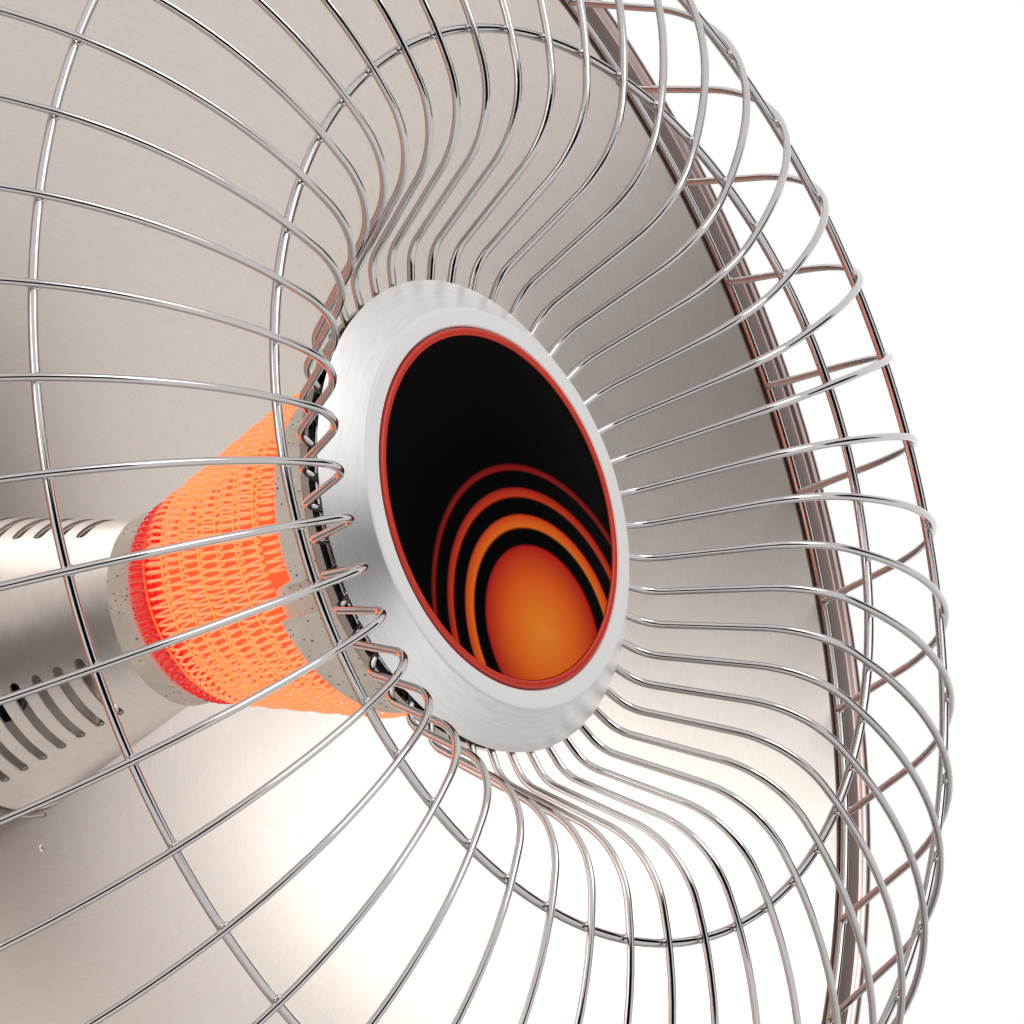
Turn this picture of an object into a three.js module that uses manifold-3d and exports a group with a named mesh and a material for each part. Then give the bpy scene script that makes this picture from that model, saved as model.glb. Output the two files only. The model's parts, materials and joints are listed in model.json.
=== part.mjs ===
// Parabolic dish heater: a reflector head with a wire guard, tilting in the yoke of a free-standing base.
// Millimetres, +Z up, the heater faces -Y. The origin lies on the floor under the middle of its outline.
import * as THREE from "three";
import { mergeVertices } from "three/addons/utils/BufferGeometryUtils.js";
import Module from "manifold-3d";

const wasm = await Module();
wasm.setup();

// ---------------------------------------------------------------- driving dimensions
const GAP = 0.3;                    // clearance left between touching pieces
const RUNNING_GAP = 0.4;            // clearance round a turning shaft
const FULL_TURN = 2 * Math.PI;

// Placing of the head
const HEAD_TILT = THREE.MathUtils.degToRad(22.5);
const PIVOT_HEIGHT = 327;
const PIVOT_BACK = 96.72;           // pivot behind the middle of the outline
const PIVOT_FROM_RIM = 125;         // pivot behind the plane of the reflector's rim

// Reflector dish
const DISH_RIM_RADIUS = 212;
const DISH_VERTEX = -86.5;          // along the head's axis, from the rim plane
const DISH_RIM_FACE = 3.8;
const DISH_WALL = 0.9;
const DISH_HOLE_RADIUS = 14;
const DISH_FLANGE_WIDTH = 9.5;
const BEAD_RADIUS = 2.6;
const DISH_RINGS = 5;
const DISH_SEGMENTS = 34;

// Slotted pedestal cone in the middle of the dish
const CONE_FRONT = -29.5;
const CONE_FRONT_RADIUS = 21.4;
const CONE_BASE_RADIUS = 35.7;
const CONE_WALL = 1;
const CONE_SEGMENTS = 18;
const SLOT_GROUPS = 3;
const SLOT_ROWS = 7;
const SLOT_FIRST = 12;              // first row behind the cone's front
const SLOT_PITCH = 5.7;
const SLOT_WIDTH = 2.8;
const SLOT_ARC = THREE.MathUtils.degToRad(38);

// Heating element
const TIE_ROD_RADIUS = 2.5;
const NUT_RADIUS = 4.6;
const NUT_LENGTH = 4;
const REAR_RING_RADIUS = 23.4;
const REAR_RING_LENGTH = 7;
const WINDING_LOOPS = 8;
const WINDING_STEPS = 20;
const WINDING_SIDES = 5;
const WINDING_COIL_RADIUS = 2.55;
const WINDING_REAR_RADIUS = 22.9;
const WINDING_FRONT_RADIUS = 36.3;
const WINDING_PITCH = 5.44;
const WINDING_MARGIN = 3.2;         // core left bare beyond the winding's ends
const COLLAR_RADIUS = 39;
const COLLAR_LENGTH = 27.5;
const COLLAR_NOTCH_WIDTH = 8;
const COLLAR_NOTCH_DEPTH = 3;

// Wire guard
const WIRE_COUNT = 48;
const WIRE_RADIUS = 0.95;
const RING_WIRE_RADIUS = 1.15;
const WIRE_SIDES = 3;
const RING_SIDES = 4;
const WELD_DEPTH = 0.45;
const CREST_RADIUS = 98.8;          // radius of the guard's foremost circle
const CREST_FORWARD = 96.5;
const SHOULDER_BEND = 111.1;        // bend of the outer shoulder
const SHOULDER_TURN = THREE.MathUtils.degToRad(60);
const THROAT_BEND = 26;             // bend from the crest into the throat
const THROAT_TURN = THREE.MathUtils.degToRad(56);
const KNEE_RADIUS = 62.9;
const WIRE_INNER_RADIUS = 48;
const WIRE_INNER_DROP = 4.2;        // from the knee back to the wire's inner end
const FRONT_RING_RADIUS = 106.6;
const OUTER_RING_RADIUS = 163.4;
const RIM_RING_RADIUS = 213.5;
const HUB_RING_RADIUS = 50;
const CLIP_COUNT = 4;
const CLIP_WIDTH = 9;
const CLIP_WALL = 1;

// Hub cap and medallion
const CAP_RADIUS = 55.5;
const CAP_FACE_RADIUS = 47;
const CAP_RECESS_RADIUS = 42.7;
const CAP_HEIGHT = 7.6;
const CAP_WALL = 0.8;
const CAP_RECESS = 1.6;
const CAP_WELL_RADIUS = 9;
const CAP_WELL_DEPTH = 6.2;
const MEDALLION_RADIUS = 40.4;
const MEDALLION_RING_WIDTH = 1.7;
const MEDALLION_THICKNESS = 1.3;
const RETAINER_RADIUS = 54;
const RETAINER_WALL = 0.8;
const RETAINER_LIP = 2;
const HUB_SEGMENTS = 22;

// Rear housing of the head
const HOUSING_RADIUS = 80;
const HOUSING_FRONT = -96;
const HOUSING_BACK = -158;
const HOUSING_WALL = 2.5;
const HOUSING_HOLE_RADIUS = 16;
const HOUSING_EDGE = 6;
const HOUSING_SEGMENTS = 22;
const COVER_DEPTH = 5;
const COVER_BOSS_RADIUS = 4.5;
const COVER_SCREW_SPREAD = 51;
const COVER_VENTS = 5;
const VENT_LENGTH = 46;
const VENT_WIDTH = 3;
const VENT_PITCH = 6.5;
const VENT_FIRST_HEIGHT = 43;
const SCREW_RADIUS = 1.8;
const SCREW_HEAD_RADIUS = 3.4;
const SCREW_HEAD_HEIGHT = 1.9;
const SCREW_LENGTH = 12;
const SHIELD_RADIUS = 68;
const SHIELD_WALL = 1;
const SHIELD_FROM_HOUSING = 4.5;
const STANDOFF_COUNT = 3;
const STANDOFF_SPREAD = 55;
const STANDOFF_RADIUS = 5;
const STANDOFF_COLLAR_RADIUS = 7;
const HANDLE_SPREAD = 46;
const HANDLE_RISE = 118;
const HANDLE_BACK = -128;
const HANDLE_TUBE_RADIUS = 8;
const HANDLE_BEND = 20;

// Controls on the back cover
const KNOB_RADIUS = 21;
const KNOB_DEPTH = 15;
const KNOB_HEIGHT = -22;            // below the head's axis
const KNOB_GRIP_WIDTH = 6;
const KNOB_GRIP_DEPTH = 4;
const SHAFT_RADIUS = 3;
const SHAFT_IN_BODY = 10;
const SHAFT_IN_KNOB = 9;
const THERMOSTAT_SIZE = new THREE.Vector3(32, 26, 17);
const ROCKER_SIDE = -36;
const ROCKER_HEIGHT = 20;
const ROCKER_LENGTH = 21;
const ROCKER_WIDTH = 12;
const ROCKER_THROW = THREE.MathUtils.degToRad(8);
const ROCKER_PROUD = 4.6;
const SWITCH_WALL = 1.6;
const SWITCH_DEPTH = 16;
const SWITCH_BEZEL = 2;
const SWITCH_BEZEL_HEIGHT = 1.5;
const LENS_SIDE = 36;
const LENS_RADIUS = 4.6;
const LENS_STALK_RADIUS = 3.2;
const INLET_HEIGHT = -62;
const INLET_FLANGE_RADIUS = 8;
const INLET_BARREL_RADIUS = 6;
const INLET_BORE_RADIUS = 3.6;

// Electrical pieces inside the housing
const TERMINAL_SIZE = new THREE.Vector3(38, 16, 14);
const TERMINAL_HEIGHT = 32;
const CUTOUT_RADIUS = 8;
const CUTOUT_LENGTH = 9;
const CUTOUT_SIDE = 38;
const TIP_SWITCH_SIZE = new THREE.Vector3(17, 24, 18);
const TIP_SWITCH_SIDE = -44;
const BUZZER_RADIUS = 11;
const BUZZER_LENGTH = 9.5;
const BUZZER_SIDE = 34;
const BUZZER_HEIGHT = -40;
const LEAD_RADIUS = 1.6;
const LEAD_SIDE = 10.5;

// Pivot and yoke
const BOSS_RADIUS = 15;
const BOSS_LENGTH = 4.5;
const WASHER_THICKNESS = 1;
const WASHER_RADIUS = 13;
const ARM_THICKNESS = 8;
const ARM_DEPTH = 36;
const YOKE_DROP = 100;              // from the pivot to the top of the yoke's cross bar
const YOKE_BAR = 14;
const BOLT_RADIUS = 4;
const BOLT_HEAD_RADIUS = 8;
const BOLT_HEAD_HEIGHT = 4;
const BOLT_IN_BOSS = 12;
const PIVOT_CAP_RADIUS = 15;
const PIVOT_CAP_HEIGHT = 7.5;
const PIVOT_CAP_WALL = 1.6;

// Column and base
const COLUMN_TOP_WIDTH = 92;
const COLUMN_FOOT_WIDTH = 132;
const COLUMN_TOP_DEPTH = 36;
const COLUMN_FOOT_DEPTH = 56;
const COLUMN_WALL = 2.5;
const TUBE_RADIUS = 12;
const TUBE_WALL = 2;
const TUBE_PLATE = 3;
const TUBE_PLATE_WIDTH = 60;
const TUBE_PLATE_DEPTH = 22;
const BASE_WIDTH = 430;
const BASE_DEPTH = 300;
const BASE_BACK = -10.78;           // base's middle along Y
const BASE_SIDE_HEIGHT = 24;
const BASE_SHOULDER_HEIGHT = 36;
const BASE_CROWN_HEIGHT = 46;
const BASE_WALL = 2.6;
const BASE_SQUARENESS = 3.2;        // exponent of the rounded outline
const BASE_POINTS = 26;
const FOOT_HEIGHT = 6;
const FOOT_RADIUS = 11;
const FOOT_SPREAD_X = 160;
const FOOT_SPREAD_Y = 92;
const FOOT_PEG_RADIUS = 3;
const FOOT_PEG = 5;
const PLATE_THICKNESS = 2;
const PLATE_INSET = 2.9;
const SKIRT_CLEARANCE = 2;          // base cover's lower edge above the floor
const BALLAST_SIZE = new THREE.Vector3(220, 110, 9);
const BALLAST_FORWARD = -70;

// ---------------------------------------------------------------- materials
function finish(color, roughness, metalness) {
  return new THREE.MeshStandardMaterial({ color, roughness, metalness });
}

const brushedAluminium = finish(0xc4bfba, 0.35, 1);
const polishedSteel = finish(0xd6d3d0, 0.15, 1);
const chromedWire = finish(0xcfcccb, 0.12, 1);
const spunSteel = finish(0xd9d7d4, 0.3, 1);
const blackEnamel = finish(0x0b0a0a, 0.3, 0);
const redEnamel = finish(0xe03a1e, 0.4, 0);
const steatite = finish(0xb9ad98, 0.85, 0);
const glowingAlloy = finish(0xff5a2a, 0.6, 0);
const zincPlate = finish(0xa9abad, 0.45, 1);
const darkPlastic = finish(0x3a3c3f, 0.55, 0);
const greyPlastic = finish(0x8b8d90, 0.5, 0);
const blackPlastic = finish(0x17181a, 0.5, 0);
const paleNylon = finish(0xd8d4c6, 0.6, 0);
const amberLens = finish(0xd9541c, 0.2, 0);
const powderCoat = finish(0x2c2e31, 0.6, 0.2);
const castIron = finish(0x4a4a4c, 0.8, 0.6);
const footRubber = finish(0x1c1c1d, 0.9, 0);
const leadSleeve = finish(0xc9c2b2, 0.9, 0);

// ---------------------------------------------------------------- solids
/** Welds a geometry to shared positions, drops collapsed faces and turns it outwards. */
function weld(geometry) {
  const bare = new THREE.BufferGeometry();
  bare.setAttribute("position", geometry.getAttribute("position").clone());
  if (geometry.index) bare.setIndex(geometry.index.clone());
  const merged = mergeVertices(bare, 1e-4);
  const corners = merged.index.array;
  const kept = [];
  for (let i = 0; i < corners.length; i += 3) {
    const [a, b, c] = [corners[i], corners[i + 1], corners[i + 2]];
    if (a !== b && b !== c && c !== a) kept.push(a, b, c);
  }
  merged.setIndex(volumeOf(merged, kept) < 0 ? kept.reverse() : kept);
  return merged;
}

function volumeOf(geometry, corners) {
  const position = geometry.getAttribute("position");
  const [a, b, c] = [new THREE.Vector3(), new THREE.Vector3(), new THREE.Vector3()];
  let total = 0;
  for (let i = 0; i < corners.length; i += 3) {
    a.fromBufferAttribute(position, corners[i]);
    b.fromBufferAttribute(position, corners[i + 1]);
    c.fromBufferAttribute(position, corners[i + 2]);
    total += a.dot(b.cross(c)) / 6;
  }
  return total;
}

function toSolid(geometry) {
  const welded = weld(geometry);
  return new wasm.Manifold(new wasm.Mesh({
    numProp: 3,
    vertProperties: new Float32Array(welded.getAttribute("position").array),
    triVerts: new Uint32Array(welded.index.array),
  }));
}

function toGeometry(solid) {
  const mesh = solid.getMesh();
  const geometry = new THREE.BufferGeometry();
  geometry.setAttribute("position", new THREE.BufferAttribute(new Float32Array(mesh.vertProperties), 3));
  geometry.setIndex(new THREE.BufferAttribute(new Uint32Array(mesh.triVerts), 1));
  return geometry;
}

function join(...geometries) {
  return toGeometry(geometries.map(toSolid).reduce((whole, piece) => whole.add(piece)));
}

function cut(geometry, ...tools) {
  return toGeometry(tools.map(toSolid).reduce((whole, tool) => whole.subtract(tool), toSolid(geometry)));
}

/** Turned solid round the Z axis; outline is a list of [radius, height] that closes on itself. */
function turned(outline, segments = 28) {
  const points = [...outline, outline[0]].map(([radius, height]) => new THREE.Vector2(radius, height));
  return weld(new THREE.LatheGeometry(points, segments).rotateX(Math.PI / 2));
}

/** Round bar along Z between two heights. */
function bar(radius, low, high, segments = 10) {
  return turned([[0, low], [radius, low], [radius, high], [0, high]], segments);
}

/** Ring along Z between two heights. */
function ring(bore, radius, low, high, segments = 20) {
  return turned([[bore, low], [radius, low], [radius, high], [bore, high]], segments);
}

function block(width, depth, height, x = 0, y = 0, z = 0) {
  return new THREE.BoxGeometry(width, depth, height).translate(x, y, z);
}

/** Tube of even radius through a list of points, with closed ends; firstNormal points at one edge. */
function swept(points, radius, sides, firstNormal = new THREE.Vector3(0, 0, 1)) {
  const position = [];
  const index = [];
  const tangentAt = (i) => {
    const before = points[Math.max(i - 1, 0)];
    const after = points[Math.min(i + 1, points.length - 1)];
    return after.clone().sub(before).normalize();
  };
  const normal = firstNormal.clone();
  points.forEach((point, i) => {
    const tangent = tangentAt(i);
    normal.addScaledVector(tangent, -normal.dot(tangent)).normalize();
    const side = new THREE.Vector3().crossVectors(tangent, normal);
    for (let s = 0; s < sides; s += 1) {
      const angle = (FULL_TURN * s) / sides;
      const at = point.clone().addScaledVector(normal, radius * Math.cos(angle));
      at.addScaledVector(side, radius * Math.sin(angle));
      position.push(at.x, at.y, at.z);
    }
  });
  for (let i = 0; i < points.length - 1; i += 1) {
    for (let s = 0; s < sides; s += 1) {
      const [a, b] = [i * sides + s, i * sides + ((s + 1) % sides)];
      index.push(a, b, b + sides, a, b + sides, a + sides);
    }
  }
  const last = (points.length - 1) * sides;
  for (let s = 1; s < sides - 1; s += 1) {
    index.push(0, s + 1, s, last, last + s, last + s + 1);
  }
  const geometry = new THREE.BufferGeometry();
  geometry.setAttribute("position", new THREE.Float32BufferAttribute(position, 3));
  geometry.setIndex(index);
  return weld(geometry);
}

/** Solid through stacked closed outlines of equal point counts, lowest first. */
function lofted(outlines) {
  const count = outlines[0].length;
  const position = outlines.flat().flatMap((point) => [point.x, point.y, point.z]);
  const index = [];
  for (let i = 0; i < outlines.length - 1; i += 1) {
    for (let s = 0; s < count; s += 1) {
      const [a, b] = [i * count + s, i * count + ((s + 1) % count)];
      index.push(a, b, b + count, a, b + count, a + count);
    }
  }
  const top = (outlines.length - 1) * count;
  for (let s = 1; s < count - 1; s += 1) index.push(0, s + 1, s, top, top + s, top + s + 1);
  const geometry = new THREE.BufferGeometry();
  geometry.setAttribute("position", new THREE.Float32BufferAttribute(position, 3));
  geometry.setIndex(index);
  return weld(geometry);
}

/** Rounded outline at a height; squareness 2 is an ellipse, more is squarer. */
function roundedOutline(width, depth, height, y = 0, squareness = 2, count = 20) {
  return Array.from({ length: count }, (_, i) => {
    const angle = (FULL_TURN * i) / count;
    const [cosine, sine] = [Math.cos(angle), Math.sin(angle)];
    const power = 2 / squareness;
    const x = (width / 2) * Math.sign(cosine) * Math.abs(cosine) ** power;
    const across = (depth / 2) * Math.sign(sine) * Math.abs(sine) ** power;
    return new THREE.Vector3(x, y + across, height);
  });
}

function addPart(parent, name, geometry, material) {
  const shaped = geometry.index ? geometry : weld(geometry);
  shaped.computeVertexNormals();
  const mesh = new THREE.Mesh(shaped, material);
  mesh.name = name;
  parent.add(mesh);
  return mesh;
}

/** Turns a solid made along Z so that it lies along X, on the left (-1) or right (+1). */
function alongX(geometry, side) {
  return geometry.rotateY((side * Math.PI) / 2);
}

/** Point at a radius and clock angle (0 up, positive to the right) in the head's frame. */
function clock(radius, angle, forward) {
  return new THREE.Vector3(radius * Math.sin(angle), radius * Math.cos(angle), forward);
}

// ---------------------------------------------------------------- reflector
function dishFace(radius) {
  const depth = DISH_RIM_FACE - DISH_VERTEX;
  return DISH_VERTEX + depth * (radius / DISH_RIM_RADIUS) ** 2;
}

function dishRingRadius(i) {
  return THREE.MathUtils.lerp(DISH_HOLE_RADIUS, DISH_RIM_RADIUS, i / DISH_RINGS);
}

/** Height of the dish's flat facets at a radius, a little in front of the true parabola. */
function dishFacet(radius) {
  const share = ((radius - DISH_HOLE_RADIUS) / (DISH_RIM_RADIUS - DISH_HOLE_RADIUS)) * DISH_RINGS;
  const i = Math.floor(share);
  return THREE.MathUtils.lerp(dishFace(dishRingRadius(i)), dishFace(dishRingRadius(i + 1)), share - i);
}

function dishOutline(drop, wall) {
  const face = [];
  const back = [];
  for (let i = 0; i <= DISH_RINGS; i += 1) {
    const radius = dishRingRadius(i);
    face.push([radius, dishFace(radius) - drop]);
    back.unshift([radius, dishFace(radius) - drop - wall]);
  }
  return { face, back };
}

const flangeEdge = DISH_RIM_RADIUS + DISH_FLANGE_WIDTH;
const beadCentre = flangeEdge + BEAD_RADIUS + 0.2;
const beadForward = DISH_RIM_FACE - BEAD_RADIUS * 0.3;
const headRadius = beadCentre + BEAD_RADIUS;

function reflectorDish() {
  const { face, back } = dishOutline(0, DISH_WALL);
  const bead = [];
  for (let turn = 144; turn >= -144; turn -= 72) {
    const angle = THREE.MathUtils.degToRad(turn);
    bead.push([beadCentre + BEAD_RADIUS * Math.cos(angle), beadForward + BEAD_RADIUS * Math.sin(angle)]);
  }
  return turned([...face, [flangeEdge, DISH_RIM_FACE], ...bead, ...back], DISH_SEGMENTS);
}

const coneBase = dishFacet(CONE_BASE_RADIUS) + GAP;

function coneRadius(forward) {
  const along = (CONE_FRONT - forward) / (CONE_FRONT - coneBase);
  return THREE.MathUtils.lerp(CONE_FRONT_RADIUS, CONE_BASE_RADIUS, along);
}

/** Cutter for one vent slot: a bar across the cone's wall between two radial ends. */
function slotCutter(angle, forward) {
  const radius = coneRadius(forward) - CONE_WALL / 2;
  const reach = 3 * CONE_WALL;
  const half = SLOT_WIDTH / 2;
  return lofted([-0.5, 0.5].map((share) => {
    const at = angle + SLOT_ARC * share;
    return [
      clock(radius - reach, at, forward - half),
      clock(radius + reach, at, forward - half),
      clock(radius + reach, at, forward + half),
      clock(radius - reach, at, forward + half),
    ];
  }));
}

function reflectorCone() {
  const inner = CONE_WALL / Math.cos(Math.atan2(CONE_BASE_RADIUS - CONE_FRONT_RADIUS, CONE_FRONT - coneBase));
  const bore = TIE_ROD_RADIUS + RUNNING_GAP;
  const shell = turned([
    [bore, CONE_FRONT], [CONE_FRONT_RADIUS, CONE_FRONT], [CONE_BASE_RADIUS, coneBase],
    [CONE_BASE_RADIUS - inner, coneBase], [coneRadius(CONE_FRONT - CONE_WALL) - inner, CONE_FRONT - CONE_WALL],
    [bore, CONE_FRONT - CONE_WALL],
  ], CONE_SEGMENTS);
  const slots = [];
  for (let group = 0; group < SLOT_GROUPS; group += 1) {
    const angle = (FULL_TURN * group) / SLOT_GROUPS;
    for (let row = 0; row < SLOT_ROWS; row += 1) {
      slots.push(slotCutter(angle, CONE_FRONT - SLOT_FIRST - row * SLOT_PITCH));
    }
  }
  const feeds = [-1, 1].map((side) => (
    bar(LEAD_RADIUS + RUNNING_GAP, CONE_FRONT - 3 * CONE_WALL, CONE_FRONT + CONE_WALL, 8)
      .translate(side * LEAD_SIDE, 0, 0)
  ));
  return cut(shell, ...slots, ...feeds);
}

// ---------------------------------------------------------------- heating element
const rearRingBack = CONE_FRONT + GAP;
const rearRingFront = rearRingBack + REAR_RING_LENGTH;
const coreBack = rearRingFront + GAP;
const windingBack = coreBack + WINDING_MARGIN;
const windingFront = windingBack + WINDING_LOOPS * WINDING_PITCH;
const coreFront = windingFront + WINDING_MARGIN;
const collarBack = coreFront + GAP;
const collarFront = collarBack + COLLAR_LENGTH;
const coreSlope = (WINDING_FRONT_RADIUS - WINDING_REAR_RADIUS) / (windingFront - windingBack);
const coreInset = (WINDING_COIL_RADIUS + GAP) * Math.hypot(1, coreSlope);

function windingRadius(forward) {
  return WINDING_REAR_RADIUS + coreSlope * (forward - windingBack);
}

function elementCore() {
  const bore = TIE_ROD_RADIUS + RUNNING_GAP;
  return turned([
    [bore, coreBack], [windingRadius(coreBack) - coreInset, coreBack],
    [windingRadius(coreFront) - coreInset, coreFront], [bore, coreFront],
  ], WINDING_STEPS);
}

/** The coiled element's outer shape: one tube wound round the core in even loops. */
function heatingWinding() {
  const steps = WINDING_LOOPS * WINDING_STEPS;
  const points = Array.from({ length: steps + 1 }, (_, i) => {
    const forward = windingBack + (WINDING_PITCH * i) / WINDING_STEPS;
    return clock(windingRadius(forward), (-FULL_TURN * i) / WINDING_STEPS, forward);
  });
  reportLeastGap(points);
  return swept(points, WINDING_COIL_RADIUS, WINDING_SIDES);
}

function reportLeastGap(points) {
  let least = Infinity;
  points.forEach((point, i) => {
    for (let j = i + WINDING_STEPS / 2; j < points.length; j += 1) {
      least = Math.min(least, point.distanceTo(points[j]));
    }
  });
  console.log(`winding: least gap to itself ${(least - 2 * WINDING_COIL_RADIUS).toFixed(2)} mm`);
}

function frontCollar() {
  const bore = TIE_ROD_RADIUS + RUNNING_GAP;
  const collar = turned([
    [bore, collarBack], [COLLAR_RADIUS - 1, collarBack], [COLLAR_RADIUS, collarBack + 1],
    [COLLAR_RADIUS, collarFront - 8], [COLLAR_RADIUS - 2.5, collarFront - 7],
    [COLLAR_RADIUS - 2.5, collarFront], [bore, collarFront],
  ], HUB_SEGMENTS);
  const middle = (collarBack + collarFront) / 2;
  const notch = block(2 * COLLAR_NOTCH_DEPTH, COLLAR_NOTCH_WIDTH, COLLAR_LENGTH + 2, -COLLAR_RADIUS, 0, middle);
  return cut(collar, notch);
}

// ---------------------------------------------------------------- wire guard
const shoulderCentre = [CREST_RADIUS, CREST_FORWARD - SHOULDER_BEND];
const throatCentre = [CREST_RADIUS, CREST_FORWARD - THROAT_BEND];
const retainerFace = collarFront + GAP + RETAINER_WALL;
const rimRingForward = DISH_RIM_FACE + GAP + RING_WIRE_RADIUS;
const weldedApart = WIRE_RADIUS + RING_WIRE_RADIUS - WELD_DEPTH;

/** One guard wire's centre line as [radius, forward], from the rim to the hub. */
function wireLine() {
  const line = [[RIM_RING_RADIUS - WELD_DEPTH, rimRingForward + WELD_DEPTH]];
  const shoulderSteps = 4;
  for (let i = 0; i <= shoulderSteps; i += 1) {
    const turn = SHOULDER_TURN * (1 - i / shoulderSteps);
    line.push([
      shoulderCentre[0] + SHOULDER_BEND * Math.sin(turn),
      shoulderCentre[1] + SHOULDER_BEND * Math.cos(turn),
    ]);
  }
  const throatSteps = 2;
  for (let i = 1; i <= throatSteps; i += 1) {
    const turn = (THROAT_TURN * i) / throatSteps;
    line.push([
      throatCentre[0] - THROAT_BEND * Math.sin(turn),
      throatCentre[1] + THROAT_BEND * Math.cos(turn),
    ]);
  }
  const [throatRadius, throatForward] = line[line.length - 1];
  const kneeForward = throatForward - (throatRadius - KNEE_RADIUS) * Math.tan(THROAT_TURN);
  line.push([KNEE_RADIUS, kneeForward]);
  line.push([WIRE_INNER_RADIUS, kneeForward - WIRE_INNER_DROP]);
  return line;
}

/** Where the wire's centre line lies at a radius on its outer or inner side of the crest. */
function wireForwardAt(radius) {
  const line = wireLine();
  for (let i = 0; i < line.length - 1; i += 1) {
    const [[r0, z0], [r1, z1]] = [line[i], line[i + 1]];
    if (radius <= r0 && radius >= r1) {
      return { forward: z0 + ((z1 - z0) * (r0 - radius)) / (r0 - r1), slope: (z1 - z0) / (r1 - r0) };
    }
  }
  return { forward: line[0][1], slope: 0 };
}

/** Welded ring of the guard, on the dish side of its wires at a radius. */
function guardRing(radius) {
  const { forward, slope } = wireForwardAt(radius);
  const length = Math.hypot(1, slope);
  const ringRadius = radius + (weldedApart * slope) / length;
  const ringForward = forward - weldedApart / length;
  return roundRing(ringRadius, ringForward);
}

/** Ring whose flats, one a wire, have their middles at the radius. */
function roundRing(radius, forward) {
  const flat = Math.PI / WIRE_COUNT;
  const torus = new THREE.TorusGeometry(radius / Math.cos(flat), RING_WIRE_RADIUS, RING_SIDES, WIRE_COUNT);
  return torus.rotateZ(flat).translate(0, 0, forward);
}

function wireGuard() {
  const line = wireLine();
  const wires = [];
  for (let i = 0; i < WIRE_COUNT; i += 1) {
    const angle = (FULL_TURN * i) / WIRE_COUNT;
    const points = line.map(([radius, forward]) => clock(radius, angle, forward));
    wires.push(swept(points, WIRE_RADIUS, WIRE_SIDES, clock(-1, angle, -1)));
  }
  const rings = [
    guardRing(FRONT_RING_RADIUS), guardRing(OUTER_RING_RADIUS), guardRing(HUB_RING_RADIUS),
    roundRing(RIM_RING_RADIUS, rimRingForward),
  ];
  return join(...rings, ...wires);
}

/** Spring clip that holds the guard's rim ring down on the dish's flange. */
function guardClip(angle) {
  const inner = RIM_RING_RADIUS - RING_WIRE_RADIUS - GAP;
  const outer = headRadius + GAP;
  const top = rimRingForward + RING_WIRE_RADIUS + GAP;
  const beadLow = beadForward - BEAD_RADIUS - GAP;
  const shape = new THREE.Shape([
    [inner, top], [inner, top + CLIP_WALL], [outer + CLIP_WALL, top + CLIP_WALL],
    [outer + CLIP_WALL, beadLow - CLIP_WALL], [flangeEdge - 1, beadLow - CLIP_WALL],
    [flangeEdge - 1, beadLow], [outer, beadLow], [outer, top],
  ].map(([x, y]) => new THREE.Vector2(x, y)));
  const geometry = new THREE.ExtrudeGeometry(shape, { depth: CLIP_WIDTH, bevelEnabled: false });
  return geometry.translate(0, 0, -CLIP_WIDTH / 2).rotateX(Math.PI / 2).rotateZ(Math.PI / 2 - angle);
}

// ---------------------------------------------------------------- hub
const capEdge = wireForwardAt(CAP_RADIUS).forward + WIRE_RADIUS + GAP;
const capFace = capEdge + CAP_HEIGHT;
const recessFloor = capFace - CAP_RECESS;
const wellFloor = capFace - CAP_WELL_DEPTH;

function hubCap() {
  const bore = TIE_ROD_RADIUS + RUNNING_GAP;
  return turned([
    [CAP_RADIUS, capEdge], [CAP_FACE_RADIUS, capFace], [CAP_RECESS_RADIUS, capFace],
    [CAP_RECESS_RADIUS, recessFloor], [CAP_WELL_RADIUS, recessFloor], [CAP_WELL_RADIUS, wellFloor],
    [bore, wellFloor], [bore, wellFloor - CAP_WALL], [CAP_WELL_RADIUS + CAP_WALL, wellFloor - CAP_WALL],
    [CAP_WELL_RADIUS + CAP_WALL, recessFloor - CAP_WALL], [CAP_RECESS_RADIUS + CAP_WALL, recessFloor - CAP_WALL],
    [CAP_RECESS_RADIUS + CAP_WALL, capFace - CAP_WALL], [CAP_FACE_RADIUS - CAP_WALL / 2, capFace - CAP_WALL],
    [CAP_RADIUS - 1.5 * CAP_WALL, capEdge],
  ], HUB_SEGMENTS);
}

function hubRetainer() {
  const bore = TIE_ROD_RADIUS + RUNNING_GAP;
  const back = retainerFace - RETAINER_WALL;
  return turned([
    [bore, back], [RETAINER_RADIUS, back], [RETAINER_RADIUS, retainerFace + RETAINER_LIP],
    [RETAINER_RADIUS - RETAINER_WALL, retainerFace + RETAINER_LIP],
    [RETAINER_RADIUS - RETAINER_WALL, retainerFace], [bore, retainerFace],
  ], HUB_SEGMENTS);
}

function medallion() {
  return bar(MEDALLION_RADIUS, recessFloor + GAP, recessFloor + GAP + MEDALLION_THICKNESS, HUB_SEGMENTS);
}

function medallionRing() {
  const bore = MEDALLION_RADIUS + GAP;
  const top = recessFloor + GAP + MEDALLION_THICKNESS + 0.3;
  return ring(bore, bore + MEDALLION_RING_WIDTH, recessFloor + GAP, top, HUB_SEGMENTS);
}

function nut(low) {
  return bar(NUT_RADIUS, low, low + NUT_LENGTH, 6);
}

function boredNut(low) {
  return cut(nut(low), bar(TIE_ROD_RADIUS + 0.1, low - 1, low + NUT_LENGTH + 1, 10));
}

// ---------------------------------------------------------------- rear housing
const coverSeat = HOUSING_BACK - GAP;
const coverBack = coverSeat - COVER_DEPTH;
const coverInside = coverBack + HOUSING_WALL;
const shieldFront = HOUSING_FRONT + SHIELD_FROM_HOUSING + SHIELD_WALL;

function screwPlaces() {
  return [[-1, -1], [1, -1], [1, 1], [-1, 1]].map(([x, y]) => [x * COVER_SCREW_SPREAD, y * COVER_SCREW_SPREAD]);
}

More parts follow.
